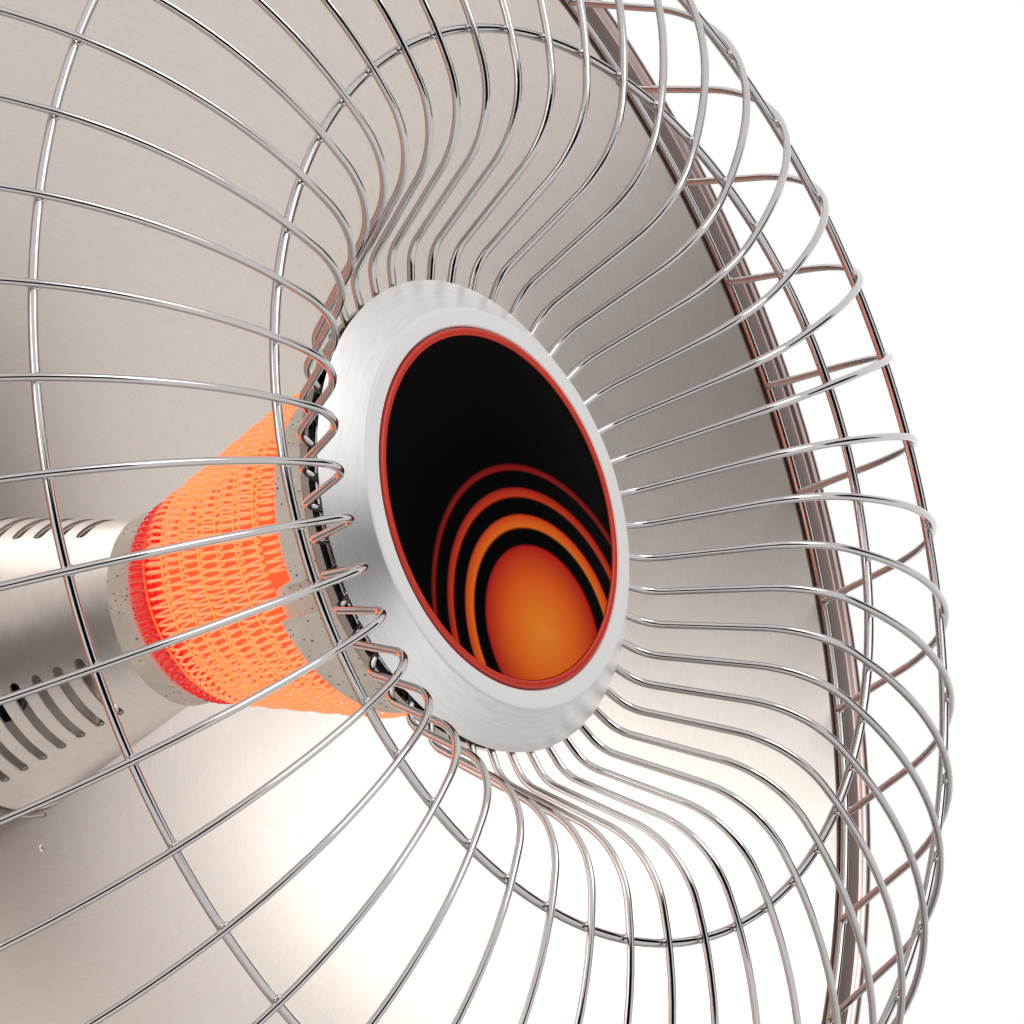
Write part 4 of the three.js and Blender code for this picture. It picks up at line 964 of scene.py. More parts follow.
# ----------------------------------------------------------------- the head's front
@dataclass
class Reflector:
    """The spun dish with its rolled rim, and the slotted cone in its middle."""

    rim_radius: float = 212.0
    vertex: float = -86.5
    rim_face: float = 3.8
    wall: float = 0.9
    hole: float = 14.0
    flange: float = 221.0
    bead_radius: float = 2.3
    rings: int = 40
    facets: int = 192
    cone_front: float = -29.5
    cone_front_radius: float = 21.4
    cone_base_radius: float = 35.7
    cone_base: float = -82.86
    cone_round: float = 1.4
    cone_wall: float = 1.0
    rod_bore: float = 2.9
    slot_rows: int = 7
    slot_groups: int = 3
    slot_first: float = 12.0
    slot_pitch: float = 5.7
    slot_width: float = 2.8
    slot_arc: float = math.radians(38.0)
    slit_radius: float = 37.6   # the slits in which the cone's lugs are bent over
    slit_length: float = 11.0
    slit_width: float = 1.1
    slit_angle: float = math.radians(-168.0)
    rivet_radius: float = 45.5

    def height(self, radius: float) -> float:
        """The height of the dish's face at a radius."""
        return self.vertex + (self.rim_face - self.vertex) * (radius / self.rim_radius) ** 2

    def cone_radius(self, height: float) -> float:
        """The cone's radius at a height."""
        share = (self.cone_front - height) / (self.cone_front - self.cone_base)
        return self.cone_front_radius + (self.cone_base_radius - self.cone_front_radius) * share

    def dish(self) -> Piece:
        """Turns the dish's face and cuts its slots.

        Returns:
            The dish in the head's frame.
        """
        radii = [self.hole + (self.rim_radius - self.hole) * i / self.rings for i in range(self.rings + 1)]
        front = [(r, self.height(r)) for r in radii]
        back = [(r, self.height(r) - self.wall) for r in reversed(radii)]
        sheet = spun("reflector_dish_spun", [*front, *back], self.facets)
        cutters = []
        for i in range(self.slot_groups):
            middle = self.slit_angle + TURN * i / self.slot_groups
            sweep = self.slit_length / self.slit_radius
            height = self.height(self.slit_radius)
            cutters.append(self.slot(self.slit_radius, height, middle, sweep, self.slit_width / 2))
        return carve(sheet, gathered("dish_slits", cutters))

    def rim(self) -> Piece:
        """Turns the polished flange with its rolled bead.

        Returns:
            The rim.
        """
        bead_middle = (self.flange + self.bead_radius + 0.2, self.rim_face - 0.4 * self.bead_radius)
        bead = arc(bead_middle, self.bead_radius, 150, -150, 20)
        inner = self.rim_radius
        return spun("reflector_dish_rim", [
            (inner, self.rim_face), (inner + 0.5, self.rim_face + 0.15), (self.flange, self.rim_face), *bead,
            (self.flange, self.rim_face - self.wall), (inner, self.rim_face - self.wall),
        ], self.facets)

    def rivets(self) -> Piece:
        """Turns the small dimples outside the slits.

        Returns:
            The dimples, as one piece.
        """
        lift = self.height(self.rivet_radius)
        dimple = spun("dimple", [
            (0, lift - 0.2), (0.7, lift - 0.1), (0.9, lift + 0.15), (0.5, lift + 0.3), (0, lift + 0.32),
        ], 20)
        shifted(dimple, 0, self.rivet_radius, 0)
        share = self.slit_angle / TURN
        turns = [round_z(share + i / self.slot_groups) for i in range(self.slot_groups)]
        return gathered("dish_dimples", copies(dimple, turns))

    def slot(self, radius: float, height: float, middle: float, sweep: float, half: float) -> Piece:
        """Makes the cutter of one curved slot with round ends.

        Args:
            radius: middle radius of the slot.
            height: height of its middle.
            middle: clock angle of its middle.
            sweep: angle from end to end.
            half: half its width.

        Returns:
            The cutter.
        """
        steps = 14
        points = [clock(radius, middle + sweep * (i / steps - 0.5), height) for i in range(steps + 1)]
        return wire("slot", points, half, rounding=4, blunt=True)

    def cone(self) -> Piece:
        """Turns the cone and cuts its rows of slots.

        Returns:
            The cone in the head's frame.
        """
        front, top = self.cone_front, self.cone_front_radius
        edge = arc((top - self.cone_round, front - self.cone_round), self.cone_round, 90, 12, 5)
        side = [(self.cone_radius(h), h) for h in (front - 3, front - 20, front - 36, self.cone_base + 1.2)]
        inner = [(self.cone_radius(h) - self.cone_wall, h) for h in (self.cone_base, front - 30, front - 3)]
        outline = [
            (self.rod_bore, front), *edge, *side, (self.cone_base_radius + 0.5, self.cone_base),
            *inner, (top - 2.4, front - self.cone_wall), (self.rod_bore, front - self.cone_wall),
        ]
        shell = spun("reflector_cone_slotted", outline, 144)
        cutters = []
        for group in range(self.slot_groups):
            for row in range(self.slot_rows):
                height = front - self.slot_first - row * self.slot_pitch
                radius = self.cone_radius(height) - self.cone_wall / 2
                middle = TURN * group / self.slot_groups
                cutters.append(self.slot(radius, height, middle, self.slot_arc, self.slot_width / 2))
        return carve(shell, gathered("cone_slots", cutters))

    def build(self) -> None:
        """Models and dresses the dish and the cone."""
        place_piece(self.dish(), HEAD, Body.HEAD, DISH_ALUMINIUM, "reflector_dish")
        # The rim's darker, pinker colour is a painted reflection of the dark studio and the red glow.
        place_piece(self.rim(), HEAD, Body.HEAD, ROLLED_RIM_PAINTED_REFLECTION)
        place_piece(self.rivets(), HEAD, Body.HEAD, CONE_ALUMINIUM)
        place_piece(self.cone(), HEAD, Body.HEAD, CONE_ALUMINIUM, "reflector_cone")


@dataclass
class Element:
    """The glowing coil on its ceramic core, between two ceramic rings."""

    first_loop: float = -0.55
    last_loop: float = 7.24
    curl_pitch: float = 2.0     # the way round from one curl of the fine wire to the next
    curl_points: int = 10
    curl_depth: float = 1.9     # half the curl's depth, and half its width along the axis
    curl_width: float = 2.95
    wire_radius: float = 0.32
    lowest: float = -18.9       # the first loop runs level, beside the ceramic
    back: float = -20.4
    pitch: float = 7.45
    back_radius: float = 22.38
    front_radius: float = 37.2
    slope: float = 0.3079
    core_back: float = -21.9
    core_front: float = 37.0
    core_inset: float = 2.85
    ridge_radius: float = 0.26
    ridge_proud: float = 1.7
    ridge_loops: float = 6.25
    bore: float = 2.9
    collar_back: float = 28.32
    collar_front: float = 55.82
    collar_radius: float = 39.0
    collar_step: float = 36.5
    floor_radius: float = 34.0  # the collar under the last loop, which its back edge follows
    step_angle: float = math.radians(-90.5)
    notch_width: float = 7.5
    notch_depth: float = 3.6
    notch_angle: float = math.radians(-97.0)
    ring_back: float = -29.2
    ring_front: float = -22.2
    ring_radius: float = 23.4

    def radius(self, height: float) -> float:
        """The radius of the coil's centre line at a height."""
        return min(self.back_radius + self.slope * (height - self.back), self.front_radius)

    def along(self, loop: float) -> float:
        """The height of the coil's centre line after a number of loops."""
        return max(self.back + self.pitch * loop, self.lowest)

    def coil(self) -> Piece:
        """Winds the fine curled wire round the core.

        Returns:
            The wire in the head's frame.
        """
        points = []
        loop, curl = self.first_loop, 0.0
        while loop < self.last_loop:
            height = self.along(loop)
            reach = self.radius(height)
            across = self.curl_width * math.sin(curl)
            points.append(clock(reach + self.curl_depth * math.cos(curl), -TURN * loop, height + across))
            curl += TURN / self.curl_points
            loop += self.curl_pitch / (self.curl_points * TURN * reach)
        return wire("heating_winding_coil", points, self.wire_radius, rounding=1)

    def ridge(self) -> Piece:
        """Draws the ceramic ridge that stands between the coil's loops.

        Returns:
            The ridge.
        """
        steps = 90
        points = []
        for i in range(round(self.ridge_loops * steps)):
            height = self.back + self.pitch * (i / steps + 0.5)
            points.append(clock(self.radius(height) + self.ridge_proud, -TURN * i / steps, height))
        return wire("element_ridge", points, self.ridge_radius, rounding=2, blunt=True)

    def core(self) -> Piece:
        """Turns the tapered core.

        Returns:
            The core.
        """
        low = self.radius(self.core_back) - self.core_inset
        high = self.front_radius - self.core_inset
        full = self.back + (self.front_radius - self.back_radius) / self.slope
        outline = [
            (self.bore, self.core_back), (low - 0.6, self.core_back), (low, self.core_back + 0.6),
            (high, full), (high, self.core_front), (self.bore, self.core_front),
        ]
        return spun("element_core_tapered", outline, 96)

    def collar(self) -> Piece:
        """Turns the front ceramic ring, and cuts its notch.

        Returns:
            The collar.
        """
        back, front = self.collar_back, self.collar_front
        outline = [
            (self.bore, back), (self.floor_radius, back), (self.floor_radius, back + 0.3),
            *arc((self.collar_radius - 1.2, back + 1.5), 1.2, -90, 0, 4),
            *arc((self.collar_radius - 1.0, front - 8.6), 1.0, 0, 60, 3),
            (self.collar_step + 0.3, front - 7.0), (self.collar_step, front - 6.6),
            *arc((self.collar_step - 0.8, front - 0.8), 0.8, 0, 90, 3), (self.bore, front),
        ]
        ring = spun("front_ceramic_collar_turned", outline, 144)
        for vertex in ring.data.vertices:
            if back + 0.2 < vertex.co.z < back + 1.6:
                round_from_step = (self.step_angle - math.atan2(vertex.co.x, vertex.co.y)) % TURN
                vertex.co.z += self.pitch * round_from_step / TURN
        size = (self.notch_width, 2 * self.notch_depth, front - back + 2)
        notch = box("notch", size, (0, self.collar_radius, (front + back) / 2))
        moved(notch, Matrix.Rotation(-self.notch_angle, 4, "Z"))
        return soften(carve(ring, notch), 0.25, 2, 50)

    def rear_ring(self) -> Piece:
        """Turns the rear ceramic ring.

        Returns:
            The ring.
        """
        back, front = self.ring_back, self.ring_front
        outline = [
            (self.bore, back), (self.ring_radius - 1, back),
            *arc((self.ring_radius - 1, back + 1), 1, -90, 0, 4),
            *arc((self.ring_radius - 1, front - 1), 1, 0, 90, 4), (self.bore, front),
        ]
        return spun("rear_ceramic_ring_turned", outline, 120)

    def build(self) -> None:
        """Models and dresses the element."""
        place_piece(self.coil(), HEAD, Body.HEAD, HOT_ALLOY, "heating_winding")
        # The ridge's glow is painted light: the coil's light and highlight on the ceramic.
        place_piece(self.ridge(), HEAD, Body.HEAD, RIDGE_PAINTED_GLOW)
        # The core's glow is partly its heat and partly painted light from the coil.
        place_piece(self.core(), HEAD, Body.HEAD, CORE_HEAT_AND_PAINTED_GLOW, "element_core")
        place_piece(self.collar(), HEAD, Body.HEAD, STEATITE, "front_ceramic_collar")
        place_piece(self.rear_ring(), HEAD, Body.HEAD, STEATITE, "rear_ceramic_ring")


@dataclass
class Guard:
    """The welded wire guard and the clips that hold it on the rim."""

    wires: int = 48
    wire_radius: float = 0.95
    ring_wire: float = 1.15
    weld_depth: float = 0.45
    crest: tuple[float, float] = (98.8, 96.5)
    shoulder_bend: float = 111.1
    shoulder_turn: float = math.radians(60.0)
    throat_bend: float = 26.0
    throat_turn: float = math.radians(56.0)
    knee: float = 62.9
    inner: float = 48.0
    inner_drop: float = 4.2
    rim_ring: float = 213.5
    rim_forward: float = 5.25
    ring_radii: tuple[float, ...] = (106.6, 163.4, 50.0)
    clips: int = 4
    clip_width: float = 9.0
    clip_wall: float = 1.0
    bead_outer: float = 227.2
    bead_low: float = 0.12
    flange: float = 221.5

    def line(self) -> Line:
        """One wire's centre line as points of radius and height, from the rim to the hub.

        Returns:
            The points.
        """
        steep = math.tan(self.throat_turn)
        shoulder = (self.crest[0], self.crest[1] - self.shoulder_bend)
        throat = (self.crest[0], self.crest[1] - self.throat_bend)
        top, turn = 90.0, math.degrees(self.shoulder_turn)
        line = [(self.rim_ring - self.weld_depth, self.rim_forward + self.weld_depth)]
        line += arc(shoulder, self.shoulder_bend, top - turn, top, 22)
        line += arc(throat, self.throat_bend, top, top + math.degrees(self.throat_turn), 14)[1:]
        radius, height = line[-1]
        knee = (self.knee, height - (radius - self.knee) * steep)
        end = (self.inner, knee[1] - self.inner_drop)
        bend = 4.0
        before = Vector((radius - knee[0], height - knee[1])).normalized() * bend
        after = Vector((end[0] - knee[0], end[1] - knee[1])).normalized() * bend
        for i in range(9):
            share = i / 8
            shift = before * (1 - share) ** 2 + after * share ** 2
            line.append((knee[0] + shift.x, knee[1] + shift.y))
        line.append(end)
        return line

    def at(self, radius: float) -> tuple[float, float]:
        """The wire's height and slope at a radius.

        Args:
            radius: distance from the axis.

        Returns:
            The height and the slope.
        """
        line = self.line()
        for (r0, z0), (r1, z1) in zip(line, line[1:]):
            if r0 >= radius >= r1 and r0 > r1:
                return z0 + (z1 - z0) * (r0 - radius) / (r0 - r1), (z1 - z0) / (r1 - r0)
        return line[0][1], 0.0

    def ring_places(self) -> Line:
        """Radius and height of each welded ring, on the dish side of the wires.

        Returns:
            One pair for each ring.
        """
        apart = self.wire_radius + self.ring_wire - self.weld_depth
        places = [(self.rim_ring, self.rim_forward)]
        for radius in self.ring_radii:
            height, slope = self.at(radius)
            length = math.hypot(1, slope)
            places.append((radius + apart * slope / length, height - apart / length))
        return places

    def welds(self) -> list[Piece]:
        """Squashes a nugget of weld into the joint between each ring and the first wire.

        Returns:
            The nuggets.
        """
        nuggets = []
        for radius, height in self.ring_places():
            clear_selection()
            bpy.ops.mesh.primitive_ico_sphere_add(subdivisions=2, radius=1.0)
            nugget = bpy.context.object
            bpy.ops.object.mode_set(mode="EDIT")
            bpy.ops.transform.resize(value=(1.5, 1.25, 0.85))
            bpy.ops.mesh.faces_shade_smooth()
            bpy.ops.object.mode_set(mode="OBJECT")
            wire_height, slope = self.at(radius)
            middle = 0.5 * (height + wire_height) if radius < self.rim_ring else height + 0.5
            lean = Matrix.Rotation(math.atan(slope), 4, "X")
            nuggets.append(moved(nugget, Matrix.Translation((0, radius, middle)) @ lean))
        return nuggets

    def basket(self) -> Piece:
        """Bends one wire with its welds, copies it round and lays the rings in.

        Returns:
            The guard in the head's frame.
        """
        points = [clock(radius, 0.0, height) for radius, height in self.line()]
        spoke = gathered("spoke", [wire("bent", points, self.wire_radius, rounding=2), *self.welds()])
        pieces = copies(spoke, [round_z(i / self.wires) for i in range(self.wires)])
        steps = 8 * self.wires
        for radius, height in self.ring_places():
            circle = [clock(radius, TURN * i / steps, height) for i in range(steps)]
            pieces.append(wire("ring", circle, self.ring_wire, rounding=2, closed=True))
        return gathered("wire_guard_welded", pieces)

    def clip(self) -> Piece:
        """Folds one spring clip from strip, at the top of the rim.

        Returns:
            The clip.
        """
        inner = self.rim_ring - self.ring_wire - GAP
        top = self.rim_forward + self.ring_wire + GAP
        low = self.bead_low
        wall, outer = self.clip_wall, self.bead_outer
        outline = [
            (inner - 1.0, top + 1.2), (inner - 0.6, top + 1.9), (inner + 1.2, top + wall),
            (outer + wall - 0.9, top + wall),
            (outer + wall - 0.25, top + wall - 0.25), (outer + wall, top + wall - 0.9),
            (outer + wall, low - wall + 0.9), (outer + wall - 0.25, low - wall + 0.25),
            (outer + wall - 0.9, low - wall), (self.flange - 1, low - wall), (self.flange - 1, low),
            (outer, low), (outer, top), (inner + 1.2, top),
        ]
        half = self.clip_width / 2
        strip = slab("clip", outline, -half, half)
        turned = Matrix.Rotation(math.pi / 2, 4, "Y") @ Matrix.Rotation(math.pi / 2, 4, "Z")
        return soften(moved(strip, turned), 0.18, 2)

    def build(self) -> None:
        """Models and dresses the guard and its clips."""
        place_piece(self.basket(), HEAD, Body.HEAD, CHROMED_WIRE, "wire_guard")
        turns = [round_z((i + 0.5) / self.clips + 0.5 / self.wires) for i in range(self.clips)]
        for i, clip in enumerate(copies(self.clip(), turns), 1):
            clip.name = f"guard_clip_folded_{i}"
            place_piece(clip, HEAD, Body.HEAD, ZINC, f"guard_clip_{i}")


@dataclass
class Hub:
    """The spun cap in the middle of the guard, its retainer and its enamelled disc."""

    edge_radius: float = 55.5
    edge: float = 62.93
    face_radius: float = 47.0
    face: float = 70.53
    recess_radius: float = 42.7
    recess: float = 68.93
    well_radius: float = 9.0
    well: float = 64.33
    bore: float = 2.9
    wall: float = 0.8
    retainer_radius: float = 54.0
    retainer_back: float = 56.12
    retainer_lip: float = 58.92
    disc_radius: float = 40.4
    disc_back: float = 69.23
    disc_front: float = 70.53
    ring_width: float = 1.7
    ring_proud: float = 0.3

    def cap(self) -> Piece:
        """Turns the cap with its rounded shoulder.

        Returns:
            The cap.
        """
        wall = self.wall
        shoulder = 1.0
        slope = math.degrees(math.atan2(self.edge_radius - self.face_radius, self.face - self.edge))
        outline = [
            (self.edge_radius, self.edge + 0.2),
            *arc((self.face_radius - 0.6, self.face - shoulder), shoulder, 90 - slope - 14, 90, 6),
            (self.recess_radius + 0.3, self.face), (self.recess_radius, self.face - 0.3),
            (self.recess_radius, self.recess), (self.well_radius, self.recess), (self.well_radius, self.well),
            (self.bore, self.well), (self.bore, self.well - wall),
            (self.well_radius + wall, self.well - wall),
            (self.well_radius + wall, self.recess - wall), (self.recess_radius + wall, self.recess - wall),
            (self.recess_radius + wall, self.face - wall), (self.face_radius - wall, self.face - wall),
            (self.edge_radius - 1.5 * wall, self.edge), (self.edge_radius - 0.3, self.edge),
        ]
        return spun("hub_cap_spun", outline, 192, 28)

    def retainer(self) -> Piece:
        """Turns the retainer dish that clamps the guard's inner ends.

        Returns:
            The retainer.
        """
        wall, back = self.wall, self.retainer_back
        outline = [
            (self.bore, back), (self.retainer_radius - 1, back),
            *arc((self.retainer_radius - 1, back + 1), 1.0, -90, 0, 4),
            (self.retainer_radius, self.retainer_lip), (self.retainer_radius - wall, self.retainer_lip),
            (self.retainer_radius - wall, back + wall), (self.bore, back + wall),
        ]
        return spun("hub_retainer_pressed", outline, 160)

    def disc(self) -> Piece:
        """Turns the enamelled disc with its soft edge.

        Returns:
            The disc.
        """
        outline = [
            (0.0, self.disc_back), (self.disc_radius, self.disc_back),
            (self.disc_radius, self.disc_front - 0.35),
            *arc((self.disc_radius - 0.35, self.disc_front - 0.35), 0.35, 0, 90, 3), (0.0, self.disc_front),
        ]
        return spun("medallion_disc", outline, 160)

    def ring(self) -> Piece:
        """Turns the thin ring round the disc.

        Returns:
            The ring.
        """
        inner = self.disc_radius + 0.1
        outer = inner + self.ring_width + 0.1
        top = self.disc_front + self.ring_proud
        outline = [
            (inner, self.disc_back), (outer, self.disc_back),
            *arc((outer - 0.5, top - 0.5), 0.5, 0, 90, 3), *arc((inner + 0.4, top - 0.4), 0.4, 90, 180, 3),
        ]
        return spun("medallion_ring_turned", outline, 160)

    def build(self) -> None:
        """Models and dresses the hub."""
        place_piece(self.cap(), HEAD, Body.HEAD, SPUN_STEEL, "hub_cap")
        place_piece(self.retainer(), HEAD, Body.HEAD, POLISHED_STEEL, "hub_retainer")
        place_piece(self.disc(), HEAD, Body.HEAD, BLACK_ENAMEL, "medallion_plate")
        place_piece(self.ring(), HEAD, Body.HEAD, RED_ENAMEL, "medallion_ring")


# ------------------------------------------------------------------ the head's back
@dataclass
class Housing:
    """The drum behind the dish with its heat shield, back cover, screws and handle."""

    radius: float = 80.0
    front: float = -96.0
    back: float = -158.0
    wall: float = 2.5
    edge: float = 6.0
    hole: float = 16.0
    boss_radius: float = 15.0
    boss_end: float = 84.5
    boss_in: float = 65.5
    pivot_back: float = -125.0
    bolt_hole: float = 4.3
    cover_seat: float = -158.3
    cover_back: float = -163.3
    screw_spread: float = 51.0
    screw_hole: float = 2.1
    screw_head: float = 3.4
    screw_height: float = 1.9
    vents: int = 5
    vent_length: float = 46.0
    vent_step: float = 5.0
    vent_width: float = 3.0
    vent_first: float = 43.0
    vent_pitch: float = 6.5
    shield_radius: float = 68.0
    shield_front: float = -90.5
    shield_wall: float = 1.0
    standoff_spread: float = 55.0
    standoff_post: float = 5.0
    standoff_collar: float = 7.0
    standoff_top: float = -81.2
    tube_radius: float = 8.0
    handle_spread: float = 46.0
    handle_rise: float = 118.0
    handle_back: float = -128.0
    handle_bend: float = 20.0
    handle_foot: float = 66.6
    switch_hole: tuple[float, float] = (16.8, 26.8)
    switch_place: tuple[float, float] = (-36.0, 20.0)
    round_holes: tuple[tuple[float, float, float], ...] = (   # radius, x and y
        (3.4, 0.0, -22.0), (3.5, 36.0, 20.0), (6.3, 0.0, -62.0),
    )

    def corners(self) -> Line:
        """Where the cover's screws are."""
        spread = self.screw_spread
        return [(-spread, -spread), (spread, -spread), (spread, spread), (-spread, spread)]

    def drum(self) -> Piece:
        """Turns the drum, joins its pivot bosses and cuts a shadow line round it.

        Returns:
            The drum in the head's frame.
        """
        wall, edge = self.wall, self.edge
        groove = self.back + 7.0
        outline = [
            (self.hole, self.front), (self.radius - edge, self.front),
            *arc((self.radius - edge, self.front - edge), edge, 90, 0, 8)[1:],
            (self.radius, groove + 0.9), (self.radius - 0.7, groove + 0.5), (self.radius - 0.7, groove - 0.5),
            (self.radius, groove - 0.9), (self.radius, self.back + 0.4), (self.radius - 0.4, self.back),
            (self.radius - wall, self.back), (self.radius - wall, self.front - edge),
            *arc((self.radius - edge, self.front - edge), edge - wall, 0, 90, 5),
            (self.hole, self.front - wall),
        ]
        shell = spun("rear_housing_drum", outline, 160)
        bosses, holes = [], []
        for side in (-1, 1):
            turn = Matrix.Translation((0, 0, self.pivot_back)) @ along_x(side)
            low, high, reach = self.boss_in, self.boss_end, self.boss_radius
            boss = spun("boss", [
                (0, low), (reach - 1, low), (reach, low + 1), (reach, high - 0.8),
                (reach - 0.8, high), (0, high),
            ], 64)
            hole = rod("bolt_hole", self.bolt_hole, low - 2, high + 2)
            bosses.append(moved(boss, turn))
            holes.append(moved(hole, turn))
        carve(shell, *bosses, mode="UNION")
        return carve(shell, *holes)

    def cover(self) -> Piece:
        """Turns the back cover and cuts its vents and holes.

        Returns:
            The cover in the head's frame.
        """
        seat, back, wall = self.cover_seat, self.cover_back, self.wall
        inside = self.radius - wall
        plate = spun("back_cover_vented", [
            (0, back), (self.radius - 9, back), (self.radius - 5.5, back + 0.5),
            (self.radius - 2.5, back + 1.8),
            (self.radius - 0.8, back + 3.4), (self.radius, seat - 0.4), (self.radius - 0.3, seat),
            (inside, seat), (inside - 2, back + wall), (0, back + wall),
        ], 128)
        through = 8.0
        cutters = []
        for i in range(self.vents):
            half = self.vent_length / 2 - i * self.vent_step / 2
            end = self.vent_width / 2
            outline = [*arc((half - end, 0), end, -90, 90, 8), *arc((end - half, 0), end, 90, 270, 8)]
            vent = slab("vent", outline, -through, through)
            cutters.append(shifted(vent, 0, self.vent_first + i * self.vent_pitch, back))
        for radius, x, y in (*self.round_holes, *((self.screw_hole, x, y) for x, y in self.corners())):
            drill = rod("drill", radius, -through, through)
            cutters.append(shifted(drill, x, y, back))
        cutters.append(box("switch_hole", (*self.switch_hole, 2 * through), (*self.switch_place, back)))
        return carve(plate, gathered("cover_cutters", cutters))

    def screws(self) -> list[Piece]:
        """Turns one pan-head screw, cuts its cross and copies it to the corners.

        Returns:
            The four screws.
        """
        seat = self.cover_back - GAP
        low, head = seat - self.screw_height, self.screw_head
        screw = spun("screw", [
            (0, low), (head * 0.45, low + 0.05), (head * 0.8, low + 0.5), (head * 0.97, low + 1.2),
            (head, seat - 0.2),
            (head - 0.2, seat), (1.8, seat), (1.8, seat + 12), (0, seat + 12),
        ], 40)
        arms = [box("cross", size, (0, 0, low)) for size in ((3.6, 0.8, 2.0), (0.8, 3.6, 2.0))]
        carve(screw, *arms)
        return copies(screw, [Matrix.Translation((x, y, 0)) for x, y in self.corners()])

    def handle(self) -> Piece:
        """Bends the carrying handle from tube and trims its feet to the drum.

        Returns:
            The handle in the head's frame.
        """
        spread, bend, back = self.handle_spread, self.handle_bend, self.handle_back
        top = self.handle_rise - bend
        path = [(-spread, self.handle_foot), *arc((bend - spread, top), bend, 180, 90, 12)]
        path += [*arc((spread - bend, top), bend, 90, 0, 12), (spread, self.handle_foot)]
        points = [Vector((x, y, back)) for x, y in path]
        tube = wire("carry_handle_tube", points, self.tube_radius, rounding=8)
        drum = spun("drum", [
            (0, self.back - 9), (self.radius + GAP, self.back - 9),
            (self.radius + GAP, self.front + 5), (0, self.front + 5),
        ], 160)
        return soften(carve(tube, drum), 0.5, 2, 50)

    def grips(self) -> Piece:
        """Turns the shallow ribs of the handle's grip.

        Returns:
            The ribs, as one piece.
        """
        width = self.tube_radius
        rib = spun("rib", [
            (width - 1, -1.1), (width + 0.15, -0.8), (width + 0.3, 0), (width + 0.15, 0.8), (width - 1, 1.1),
        ], 48)
        moved(rib, Matrix.Translation((0, self.handle_rise, self.handle_back)) @ along_x(1))
        places = [Matrix.Translation((x, 0, 0)) for x in range(-20, 21, 5)]
        return gathered("handle_ribs", copies(rib, places))

    def shield(self) -> Piece:
        """Turns the heat shield with its stiffening rib and cuts its holes.

        Returns:
            The shield.
        """
        front, wall, edge = self.shield_front, self.shield_wall, self.shield_radius
        rib = 61.0
        plate = spun("heat_shield_pressed", [
            (self.hole, front - wall), (rib - 2, front - wall), (rib, front - wall - 0.5),
            (rib + 2, front - wall),
            (edge - 0.4, front - wall), (edge, front - wall + 0.4), (edge, front - 0.4), (edge - 0.4, front),
            (rib + 2, front), (rib, front - 0.5), (rib - 2, front), (self.hole, front),
        ], 128)
        holes = []
        for i in range(3):
            place = clock(self.standoff_spread, math.pi + TURN * i / 3, front)
            drill = rod("drill", self.standoff_post + GAP, -4, 4)
            holes.append(moved(drill, Matrix.Translation(place)))
        return carve(plate, gathered("shield_drills", holes))

    def standoffs(self) -> list[Piece]:
        """Turns one standoff, cuts it to the dish's back and copies it.

        Returns:
            The three standoffs.
        """
        foot, shoulder = self.front + GAP, self.shield_front - self.shield_wall - GAP
        collar, post = self.standoff_collar, self.standoff_post
        pillar = spun("standoff", [
            (0, foot), (collar - 0.4, foot), (collar, foot + 0.4), (collar, shoulder - 0.4),
            (collar - 0.4, shoulder),
            (post, shoulder), (post, self.standoff_top + 2), (0, self.standoff_top + 2),
        ], 40)
        shifted(pillar, 0, self.standoff_spread, 0)
        dish = Reflector()
        radii = [5.0 * i for i in range(17)]
        space = spun("dish_space", [
            (0, 0), *((r, dish.height(r) - dish.wall - GAP) for r in radii), (80.0, 0),
        ], 96)
        carve(pillar, space)
        return copies(pillar, [round_z(0.5 + i / 3) for i in range(3)])

    def build(self) -> None:
        """Models and dresses the back of the head."""
        place_piece(self.drum(), HEAD, Body.HEAD, DARK_ABS, "rear_housing")
        place_piece(self.cover(), HEAD, Body.HEAD, DARK_ABS, "back_cover")
        place_piece(self.handle(), HEAD, Body.HEAD, BLACK_ABS, "carry_handle")
        place_piece(self.grips(), HEAD, Body.HEAD, BLACK_ABS)
        place_piece(self.shield(), HEAD, Body.HEAD, ZINC, "heat_shield")
        for i, screw in enumerate(self.screws(), 1):
            screw.name = f"cover_screw_crossed_{i}"
            place_piece(screw, HEAD, Body.HEAD, ZINC, f"cover_screw_{i}")
        for i, pillar in enumerate(self.standoffs(), 1):
            pillar.name = f"dish_standoff_turned_{i}"
            place_piece(pillar, HEAD, Body.HEAD, ZINC, f"dish_standoff_{i}")


